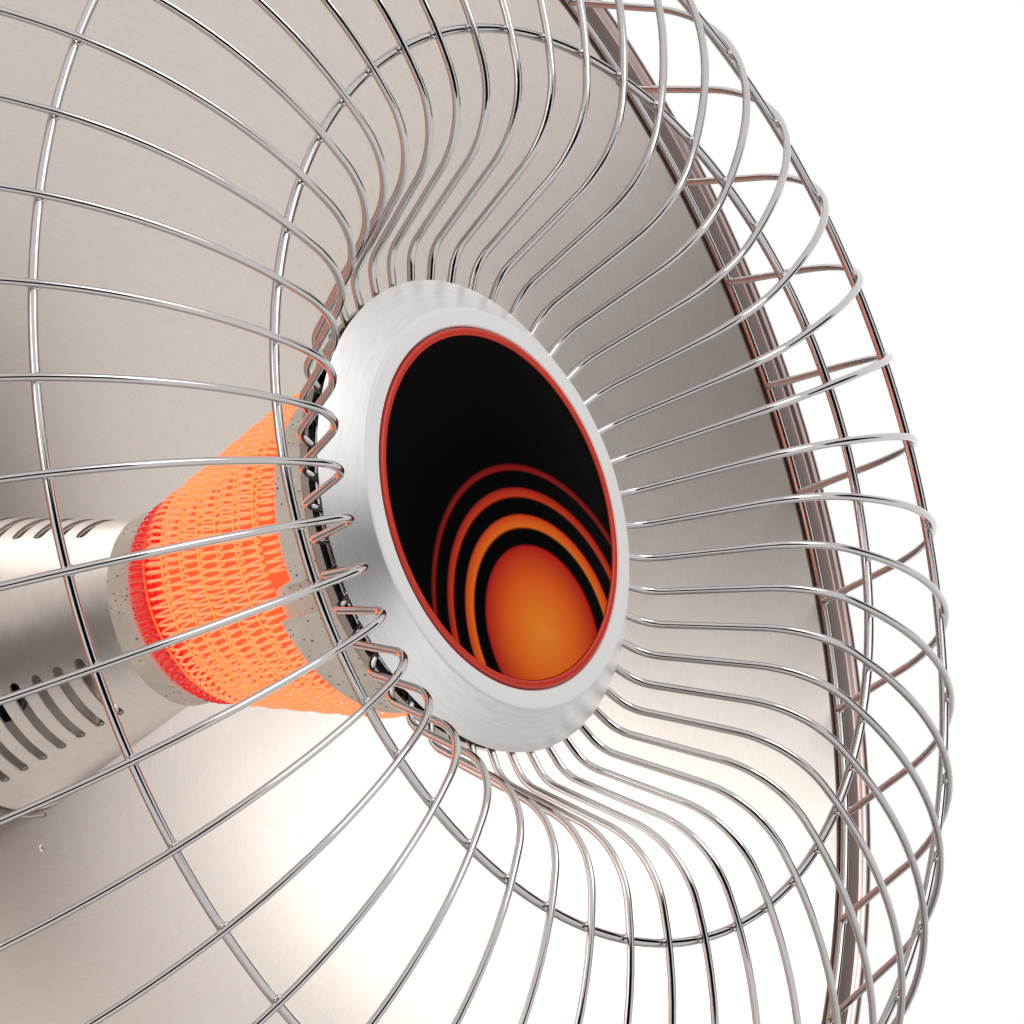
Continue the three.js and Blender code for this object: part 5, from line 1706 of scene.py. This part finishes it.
@dataclass
class Controls:
    """The thermostat knob, the rocker switch, the lamp lens and the inlet bushing."""

    foot: float = -163.7
    knob_radius: float = 21.0
    knob_depth: float = 15.0
    knob_height: float = -22.0
    grip_width: float = 6.0
    grip_proud: float = 4.0
    shaft_hole: float = 3.2
    flutes: int = 36
    cover_back: float = -163.3
    switch_place: tuple[float, float] = (-36.0, 20.0)
    rocker_width: float = 12.0
    rocker_length: float = 21.0
    rocker_proud: float = 4.6
    rocker_throw: float = math.radians(8.0)
    rocker_pivot: float = -160.8
    bezel: float = 2.0
    bezel_height: float = 1.5
    switch_wall: float = 1.6
    switch_depth: float = 16.0
    lens_radius: float = 4.6
    lens_stalk: float = 3.2
    inlet_height: float = -62.0
    inlet_flange: float = 8.0
    inlet_barrel: float = 6.0
    inlet_bore: float = 3.6
    dial_marks: int = 11
    dial_sweep: float = 270.0   # degrees from the first mark to the last
    dial_radius: float = 25.5

    def knob(self) -> Piece:
        """Turns the knob's skirt, raises its grip and flutes its edge.

        Returns:
            The knob in the head's frame.
        """
        foot, radius = self.foot, self.knob_radius
        top = foot - self.knob_depth + self.grip_proud
        skirt = spun("thermostat_knob_fluted", [
            (0, top), (radius - 4.5, top), (radius - 2.6, top + 0.4), (radius - 1.5, top + 1.4),
            (radius, foot - 0.5), (radius - 0.5, foot), (0, foot),
        ], 144)
        half = radius - 4.2
        middle = foot - self.knob_depth / 2 - 0.1
        grip = box("grip", (self.grip_width, 2 * half, self.knob_depth - 0.2), (0, 0, middle))
        soften(grip, 1.1, 4)
        carve(skirt, grip, mode="UNION")
        flute = box("flute", (1.0, 2.2, 9.0), (0, radius + 0.55, foot - 5.0))
        turns = [round_z(i / self.flutes) for i in range(self.flutes)]
        flutes = gathered("flutes", copies(soften(flute, 0.3, 2), turns))
        bore = rod("bore", self.shaft_hole, foot - 9.3, foot + 2)
        return shifted(carve(skirt, flutes, bore), 0, self.knob_height, 0)

    def pointer(self) -> Piece:
        """Lays the white line on the knob's grip."""
        line = box("knob_pointer_line", (1.2, 9.0, 0.3), (0, 11.0, self.foot - self.knob_depth))
        return shifted(soften(line, 0.1, 2), 0, self.knob_height, 0)

    def dial(self) -> Piece:
        """Prints the plain scale round the knob: ticks that grow longer with the heat.

        Returns:
            The ticks, as one piece.
        """
        ticks = []
        for i in range(self.dial_marks):
            length = 2.0 + 0.22 * i
            tick = box("tick", (0.8, length, 0.2), (0, self.dial_radius + length / 2, self.cover_back - 0.08))
            angle = math.radians(-self.dial_sweep / 2 + self.dial_sweep * i / (self.dial_marks - 1))
            place = Matrix.Translation((0, self.knob_height, 0)) @ Matrix.Rotation(angle, 4, "Z")
            ticks.append(moved(soften(tick, 0.05, 1), place))
        return gathered("dial_scale_printed", ticks)

    def switch(self) -> Piece:
        """Builds the switch's housing and bezel round the rocker.

        Returns:
            The housing.
        """
        width, length = self.rocker_width + 1, self.rocker_length + 2
        face = self.cover_back - GAP - self.bezel_height
        deep = self.cover_back + self.switch_depth
        wall, lip = 2 * self.switch_wall, 2 * self.bezel
        sides = (width + wall, length + wall, deep - face - 0.5)
        body = box("power_switch_bezelled", sides, (0, 0, (deep + face + 0.5) / 2))
        frame_piece = box("bezel", (width + wall + lip, length + wall + lip, self.bezel_height),
                          (0, 0, face + self.bezel_height / 2))
        soften(frame_piece, 0.6, 3)
        carve(body, frame_piece, mode="UNION")
        floor = deep - wall
        pocket = box("pocket", (width, length, floor - face + 2), (0, 0, (floor + face) / 2 - 1))
        return shifted(carve(body, pocket), *self.switch_place, 0)

    def rocker(self) -> list[Piece]:
        """Cuts the rocker from a slab and prints its line and ring.

        Returns:
            The rocker and its marks.
        """
        half, proud = self.rocker_length / 2, self.rocker_proud
        outline = [(-half, -1), (-half, proud - 0.1), *((half * s, proud - 1.5 * (1 - s * s) - 0.1) for s in
                   (-0.75, -0.5, -0.25, 0, 0.25, 0.5, 0.75)),
                   (half, proud - 0.1), (half, -1), (half * 0.5, -5), (-half * 0.5, -5)]
        plate = slab("power_rocker_moulded", outline, -self.rocker_width / 2, self.rocker_width / 2)
        axes = Matrix(((0, 0, -1), (1, 0, 0), (0, -1, 0))).to_4x4()
        soften(moved(plate, axes), 0.35, 2)
        line = box("line", (0.7, 4.2, 0.3), (0, half * 0.62, -proud + 0.55))
        ring = spun("ring", [(1.3, -0.15), (2.0, -0.15), (2.0, 0.15), (1.3, 0.15)], 32)
        shifted(ring, 0, -half * 0.62, -proud + 0.55)
        marks = gathered("rocker_marks_printed", [line, ring])
        tip = Matrix.Rotation(-self.rocker_throw, 4, "X")
        place = Matrix.Translation((*self.switch_place, self.rocker_pivot)) @ tip
        return [moved(plate, place), moved(marks, place)]

    def lens(self) -> Piece:
        """Turns the domed lens of the lamp.

        Returns:
            The lens.
        """
        seat, radius = self.cover_back - GAP, self.lens_radius
        outline = [(0, seat - 3), (1.3, seat - 2.9), (2.4, seat - 2.6), (3.4, seat - 2.1), (4.2, seat - 1.4),
                   (radius, seat - 0.7), (radius, seat), (self.lens_stalk, seat),
                   (self.lens_stalk, seat + 10), (0, seat + 10)]
        x, y = -self.switch_place[0], self.switch_place[1]
        return shifted(spun("indicator_lens_domed", outline, 64, 50), x, y, 0)

    def bushing(self) -> Piece:
        """Turns the bushing in which the lead enters.

        Returns:
            The bushing.
        """
        seat, flange, bore = self.cover_back - GAP, self.inlet_flange, self.inlet_bore
        outline = [
            (bore + 0.8, seat - 3), (flange - 1.4, seat - 3), (flange - 0.5, seat - 2.6),
            (flange, seat - 1.8),
            (flange, seat - 0.2), (flange - 0.2, seat), (self.inlet_barrel, seat),
            (self.inlet_barrel, seat + 8),
            (bore, seat + 8), (bore, seat - 2.2),
        ]
        return shifted(spun("cord_inlet_bushing_turned", outline, 64), 0, self.inlet_height, 0)

    def build(self) -> None:
        """Models and dresses the controls."""
        place_piece(self.knob(), HEAD, Body.KNOB, BLACK_ABS, "thermostat_knob")
        place_piece(self.pointer(), HEAD, Body.KNOB, PRINT)
        place_piece(self.dial(), HEAD, Body.HEAD, PRINT)
        place_piece(self.switch(), HEAD, Body.HEAD, BLACK_ABS, "power_switch_body")
        rocker, marks = self.rocker()
        place_piece(rocker, HEAD, Body.ROCKER, BLACK_ABS, "power_rocker")
        place_piece(marks, HEAD, Body.ROCKER, PRINT)
        place_piece(self.lens(), HEAD, Body.HEAD, LENS, "indicator_lens")
        place_piece(self.bushing(), HEAD, Body.HEAD, BLACK_ABS, "cord_inlet_bushing")


# ------------------------------------------------------------------------ the stand
@dataclass
class Stand:
    """The yoke with its pivots, the column and the weighted base."""

    arm_in: float = 86.1
    arm_out: float = 94.1
    arm_depth: float = 36.0
    arm_round: float = 2.0
    bar_top: float = -100.0
    bar_foot: float = -114.0
    bolt_hole: float = 4.4
    bolt_radius: float = 4.0
    bolt_tip: float = 67.5
    bolt_head: float = 8.0
    head_height: float = 4.0
    socket: float = 2.6
    washer_low: float = 84.8
    washer_high: float = 85.8
    washer_radius: float = 13.0
    cap_low: float = 94.4
    cap_high: float = 101.9
    cap_radius: float = 15.0
    cap_wall: float = 1.6
    column_foot: float = 46.3
    column_top: float = 212.7
    column_sizes: tuple[float, float, float, float] = (132.0, 92.0, 56.0, 36.0)
    column_squareness: float = 2.6
    column_wall: float = 2.5
    column_steps: int = 14
    seam: float = 0.3
    base_size: tuple[float, float] = (430.0, 300.0)
    base_centre: float = -10.78
    base_squareness: float = 3.2
    base_wall: float = 2.6
    crown: float = 46.0
    foot_radius: float = 11.0
    foot_height: float = 6.0
    foot_spread: tuple[float, float] = (160.0, 92.0)

    def yoke(self) -> Piece:
        """Cuts the U-shaped bracket from its front and side outlines and rounds it.

        Returns:
            The yoke in the pivots' frame.
        """
        out, inner, top, foot = self.arm_out, self.arm_in, self.bar_top, self.bar_foot
        half, corner, crook = self.arm_depth / 2, 12.0, 9.0
        high = half
        front = [
            (-out, high), (-out, foot + corner), *arc((corner - out, foot + corner), corner, 180, 270, 8)[1:],
            *arc((out - corner, foot + corner), corner, 270, 360, 8), (out, high), (inner, high),
            (inner, top + crook), *arc((inner - crook, top + crook), crook, 0, -90, 8)[1:],
            *arc((crook - inner, top + crook), crook, 270, 180, 8), (-inner, high),
        ]
        bracket = slab("yoke_bracket", front, -half, half)
        moved(bracket, Matrix.Rotation(math.pi / 2, 4, "X"))
        cheek = [(-half, foot - 1), (half, foot - 1), *arc((0, 0), half, 0, 180, 24)]
        side = slab("side", cheek, -out - 5, out + 5)
        moved(side, Matrix(((0, 0, 1), (1, 0, 0), (0, 1, 0))).to_4x4())
        carve(bracket, side, mode="INTERSECT")
        soften(bracket, self.arm_round, 4, 40)
        hole = rod("hole", self.bolt_hole, -out - 9, out + 9, 40)
        return carve(bracket, moved(hole, along_x(1)))

    def washer(self) -> Piece:
        """Turns one friction washer.

        Returns:
            The washer.
        """
        low, high, radius, bore = self.washer_low, self.washer_high, self.washer_radius, self.bolt_hole - 0.1
        return spun("washer", [
            (bore, low), (radius - 0.2, low), (radius, low + 0.2), (radius, high - 0.2),
            (radius - 0.2, high), (bore, high),
        ], 64)

    def bolt(self) -> Piece:
        """Turns one pivot bolt and sinks its six-sided socket.

        Returns:
            The bolt.
        """
        seat, head, shank = self.cap_low, self.bolt_head, self.bolt_radius
        end = seat + self.head_height
        bolt = spun("bolt", [
            (0, self.bolt_tip), (shank - 0.8, self.bolt_tip), (shank, self.bolt_tip + 0.8),
            (shank, seat), (head, seat),
            (head, end - 1.2), (head - 1.2, end), (0, end),
        ], 48)
        socket = slab("socket", [
            (self.socket * math.cos(TURN * i / 6), self.socket * math.sin(TURN * i / 6)) for i in range(6)
        ], end - 2.2, end + 1)
        return carve(bolt, socket)

    def cap(self) -> Piece:
        """Turns one pivot cap with its dished middle.

        Returns:
            The cap.
        """
        low, high, radius, wall = self.cap_low, self.cap_high, self.cap_radius, self.cap_wall
        inner = radius - wall
        return spun("cap", [
            (0, high - 0.8), (6, high - 0.6), (radius - 6, high - 0.1), (radius - 4.4, high),
            (radius - 2.6, high - 0.5),
            (radius - 1, high - 1.9), (radius - 0.2, high - 3.6), (radius, low + 0.3), (radius - 0.3, low),
            (inner, low), (inner, high - wall - 2), (inner - 2, high - wall - 0.9), (0, high - wall - 0.9),
        ], 96)

    def levels(self, inset: float) -> list[Section]:
        """The column's sections from foot to top.

        Args:
            inset: how far inside the skin they lie.

        Returns:
            The sections.
        """
        foot_wide, top_wide, foot_deep, top_deep = self.column_sizes
        levels = []
        for i in range(self.column_steps + 1):
            share = i / self.column_steps
            eased = 1 - (1 - share) ** 2
            levels.append(Section(
                foot_wide + (top_wide - foot_wide) * eased - 2 * inset,
                foot_deep + (top_deep - foot_deep) * eased - 2 * inset,
                self.column_foot + (self.column_top - self.column_foot) * share,
            ))
        return levels

    def column(self, side: int) -> Piece:
        """Raises the column's shell and keeps its front (-1) or rear (1) half.

        Args:
            side: which half.

        Returns:
            The half shell in the shared frame.
        """
        middle, points = PIVOT.y, 96
        name = "column_front_shell" if side < 0 else "column_rear_shell"
        shell = raised(name, self.levels(0.0), self.column_squareness, middle, points)
        inner = raised("column_core", [
            *self.levels(self.column_wall),
        ], self.column_squareness, middle, points)
        take(inner)
        for vertex in inner.data.vertices:
            if vertex.co.z < self.column_foot + 0.1:
                vertex.co.z -= 4
            elif vertex.co.z > self.column_top - 0.1:
                vertex.co.z += 4
        away = box("away", (300, 100, 500), (0, middle - side * (50 - self.seam / 2), 150))
        carve(shell, inner, away)
        return soften(shell, 0.35, 2, 50)

    def base(self) -> Piece:
        """Raises the base cover's shell with its pad for the column.

        Returns:
            The cover in the shared frame.
        """
        wide, deep = self.base_size
        wall = self.base_wall
        levels = [(0.4, 2.0), (0.0, 2.6), (0.6, 10.0), (2.0, 24.0), (3.2, 28.0), (5.4, 31.0),
                  (9.0, 33.4), (14.5, 35.0),
                  (22.0, 36.2), (40.0, 38.4), (64.0, 41.2), (90.0, 43.8), (118.0, 46.0)]
        outer = [Section(wide - 2 * inset, deep - 2 * inset, height) for inset, height in levels]
        cover = raised("base_cover_moulded", outer, self.base_squareness, self.base_centre, 160)
        hollow = [(wall, 0.5), (wall, 8.0), (2.0 + wall, 23.0), (22.0 + wall, 33.4),
                  (118.0, self.crown - wall)]
        inner = [Section(wide - 2 * inset, deep - 2 * inset, height) for inset, height in hollow]
        carve(cover, raised("base_hollow", inner, self.base_squareness, self.base_centre, 160))
        foot_wide, _, foot_deep, _ = self.column_sizes
        pad = [Section(foot_wide + 3, foot_deep + 3, 30.0),
               Section(foot_wide + 3, foot_deep + 3, self.crown - 0.5),
               Section(foot_wide + 1.5, foot_deep + 1.5, self.crown - 0.1),
               Section(foot_wide, foot_deep, self.crown)]
        carve(cover, raised("pad", pad, self.column_squareness, PIVOT.y, 96), mode="UNION")
        inset = 2 * (self.column_wall + 2)
        well = [Section(foot_wide - inset, foot_deep - inset, height) for height in (20.0, 60.0)]
        return carve(cover, raised("well", well, self.column_squareness, PIVOT.y, 96))

    def feet(self) -> list[Piece]:
        """Turns one rubber foot and copies it under the base's corners.

        Returns:
            The four feet.
        """
        radius, height = self.foot_radius, self.foot_height
        foot = spun("foot", [
            (0, 0.5), (4.2, 0.5), (4.8, 0), (radius - 1.2, 0), (radius - 0.3, 0.4), (radius, 1.2),
            (radius, height - 0.3),
            (radius - 0.3, height), (3, height), (3, height + 5), (0, height + 5),
        ], 64)
        across, along = self.foot_spread
        places = [(-across, -along), (across, -along), (across, along), (-across, along)]
        return copies(foot, [Matrix.Translation((x, self.base_centre + y, 0)) for x, y in places])

    def pivots(self) -> None:
        """Models both pivots: washer, bolt and cap on each side."""
        for side, word in ((-1, "left"), (1, "right")):
            turn = PIVOTS @ along_x(side)
            for piece, body, finish, node in (
                (self.washer(), Body.STAND, NYLON, "friction_washer"),
                (self.bolt(), Body.HEAD, ZINC, "pivot_bolt"),
                (self.cap(), Body.STAND, BLACK_ABS, "pivot_cap"),
            ):
                piece.name = f"{node}_turned_{word}"
                place_piece(piece, turn, body, finish, f"{node}_{word}")

    def build(self) -> None:
        """Models and dresses the stand."""
        self.pivots()
        place_piece(self.yoke(), PIVOTS, Body.STAND, POWDER, "yoke")
        place_piece(self.column(-1), SHARED, Body.STAND, GREY_ABS, "column_front")
        place_piece(self.column(1), SHARED, Body.STAND, GREY_ABS, "column_rear")
        place_piece(self.base(), SHARED, Body.STAND, GREY_ABS, "base_cover")
        for i, foot in enumerate(self.feet(), 1):
            foot.name = f"rubber_foot_moulded_{i}"
            place_piece(foot, SHARED, Body.STAND, RUBBER, f"rubber_foot_{i}")


def dress_insides() -> None:
    """Gives the solids that stay as they are their finishes."""
    dress_solid(
        ZINC, "tie_rod", "tie_nut_front", "tie_nut_rear", "thermostat_shaft", "column_tube", "base_plate",
    )
    dress_solid(NYLON, "thermostat_body", "terminal_block")
    dress_solid(BLACK_ABS, "thermal_cutout", "tip_over_switch", "alarm_buzzer")
    dress_solid(SLEEVE, "element_lead_left", "element_lead_right")
    dress_solid(IRON, "ballast_weight")


# --------------------------------------------------------------------------- studio
@dataclass
class Studio:
    """The floor, the lights and the camera."""

    lens: float = 320.55
    sensor: float = 36.0
    azimuth: float = math.radians(56.69)
    elevation: float = math.radians(14.98)
    off_right: float = -57.03   # the rim's middle from the view's axis, mm
    off_down: float = 15.81
    distance: float = 2116.5
    floor_radius: float = 0.8
    world_light: float = 0.55   # strength of the surroundings as a light
    lamps: tuple[tuple[str, tuple[float, float, float], float, float], ...] = (
        ("overhead", (0.36, -1.1, 1.4), 0.9, 8.8),      # name, place from the rim, side, watts
        ("side", (-1.5, 0.6, 0.9), 0.8, 5.0),
    )
    cards: tuple[tuple[str, tuple[float, float, float], float, float], ...] = (
        ("card_by_camera", (-1.3, -0.85, 0.47), 1.5, 1.05),     # name, place, width, height
        ("card_across", (1.21, -0.84, 0.2), 1.0, 0.7),
        ("card_ahead", (-0.6, -1.5, 0.6), 0.9, 1.2),
    )

    def camera(self) -> None:
        """Puts the camera where the photograph was taken from."""
        az, el = self.azimuth, self.elevation
        right = Vector((math.cos(az), -math.sin(az), 0.0))
        ahead = Vector((math.sin(az) * math.cos(el), math.cos(az) * math.cos(el), -math.sin(el)))
        down = ahead.cross(right)
        middle = HEAD.to_translation()
        place = middle - (right * self.off_right + down * self.off_down + ahead * self.distance)
        data = bpy.data.cameras.new("camera")
        data.lens = self.lens
        data.sensor_width = self.sensor
        data.clip_start = 0.05
        data.clip_end = 30.0
        camera = bpy.data.objects.new("camera", data)
        bpy.context.scene.collection.objects.link(camera)
        turn = Matrix((right, -down, -ahead)).transposed().to_4x4()
        camera.matrix_world = Matrix.Translation(place * MM) @ turn
        bpy.context.scene.camera = camera

    def lamp(self, name: str, place: Vector, aim: Vector, size: float, power: float) -> Piece:
        """Hangs one square soft light.

        Args:
            name: the light's name.
            place: where it hangs, in metres.
            aim: what it points at.
            size: its side.
            power: its power in watts.

        Returns:
            The light.
        """
        data = bpy.data.lights.new(name, "AREA")
        data.shape = "SQUARE"
        data.size = size
        data.energy = power
        light = bpy.data.objects.new(name, data)
        bpy.context.scene.collection.objects.link(light)
        turn = (aim - place).to_track_quat("-Z", "Y").to_matrix().to_4x4()
        light.matrix_world = Matrix.Translation(place) @ turn
        return light

    def world(self) -> None:
        """Makes the surroundings white to the camera and to metal, and softer as a light."""
        world = bpy.data.worlds.new("studio")
        world.use_nodes = True
        tree = world.node_tree
        tree.nodes.clear()
        path = add_node(tree, "ShaderNodeLightPath")
        seen = add_node(tree, "ShaderNodeMath", {
            0: path.outputs["Is Camera Ray"], 1: path.outputs["Is Glossy Ray"],
        }, operation="MAXIMUM")
        clear = add_node(tree, "ShaderNodeMath", {
            0: seen.outputs[0], 1: path.outputs["Is Transmission Ray"],
        }, operation="MAXIMUM")
        strength = add_node(tree, "ShaderNodeMapRange", {
            "Value": clear.outputs[0], "To Min": self.world_light, "To Max": 1.0,
        })
        glow = add_node(tree, "ShaderNodeBackground", {
            "Color": (1, 1, 1, 1), "Strength": strength.outputs["Result"],
        })
        add_node(tree, "ShaderNodeOutputWorld", {"Surface": glow.outputs[0]})
        bpy.context.scene.world = world

    def floor(self) -> None:
        """Lays a pale round floor that fades out into the white surroundings."""
        clear_selection()
        bpy.ops.mesh.primitive_circle_add(vertices=96, radius=self.floor_radius, fill_type="NGON")
        floor = bpy.context.object
        floor.name = "floor"
        # Paper: a plain pale ground that takes a soft shadow and ends in white.
        made = bpy.data.materials.new("seamless paper")
        made.use_nodes = True
        tree = made.node_tree
        tree.nodes.clear()
        where = add_node(tree, "ShaderNodeTexCoord")
        far = add_node(tree, "ShaderNodeVectorMath", {0: where.outputs["Object"]}, operation="LENGTH")
        fade = add_node(tree, "ShaderNodeMapRange", {
            "Value": far.outputs["Value"], "From Min": 0.35 * self.floor_radius,
            "From Max": 0.98 * self.floor_radius,
        }, interpolation_type="SMOOTHSTEP")
        paper = add_node(tree, "ShaderNodeBsdfDiffuse", {"Color": linear("F0F0EE")})
        clear = add_node(tree, "ShaderNodeBsdfTransparent")
        mix = add_node(tree, "ShaderNodeMixShader", {
            "Fac": fade.outputs["Result"], 1: paper.outputs[0], 2: clear.outputs[0],
        })
        add_node(tree, "ShaderNodeOutputMaterial", {"Surface": mix.outputs[0]})
        floor.data.materials.append(made)

    def card(self, name: str, away: Vector, width: float, height: float) -> None:
        """Stands a black card that only metal and gloss show.

        Args:
            name: the card's name.
            away: its middle from the head's rim, in metres.
            width: its width.
            height: its height.
        """
        clear_selection()
        bpy.ops.mesh.primitive_plane_add(size=1.0)
        card = bpy.context.object
        card.name = name
        middle = HEAD.to_translation() * MM
        turn = away.to_track_quat("Z", "Y").to_matrix().to_4x4()
        size = Matrix.Diagonal((width, height, 1.0, 1.0))
        moved(card, Matrix.Translation(middle + away) @ turn @ size)
        # Felt: a dead black shape for the chrome to mirror as a dark line.
        made = bpy.data.materials.get("black felt") or bpy.data.materials.new("black felt")
        made.use_nodes = True
        made.node_tree.nodes.clear()
        felt = add_node(made.node_tree, "ShaderNodeBsdfDiffuse", {"Color": linear("101010")})
        add_node(made.node_tree, "ShaderNodeOutputMaterial", {"Surface": felt.outputs[0]})
        card.data.materials.append(made)
        card.visible_camera = False
        card.visible_diffuse = False
        card.visible_shadow = False
        card.visible_transmission = False

    def build(self) -> None:
        """Sets up the whole studio."""
        self.camera()
        self.world()
        self.floor()
        middle = HEAD.to_translation() * MM
        for name, away, size, power in self.lamps:
            self.lamp(name, middle + Vector(away), middle, size, power)
        for name, away, width, height in self.cards:
            self.card(name, Vector(away), width, height)
        bpy.context.scene.view_settings.view_transform = "Standard"


def main() -> None:
    """Builds the studio and every sub-assembly."""
    Studio().build()
    for assembly in (Reflector(), Element(), Guard(), Hub(), Housing(), Controls(), Stand()):
        assembly.build()
        log.info("%s done", type(assembly).__name__)
    dress_insides()


if __name__ == "__main__":
    main()
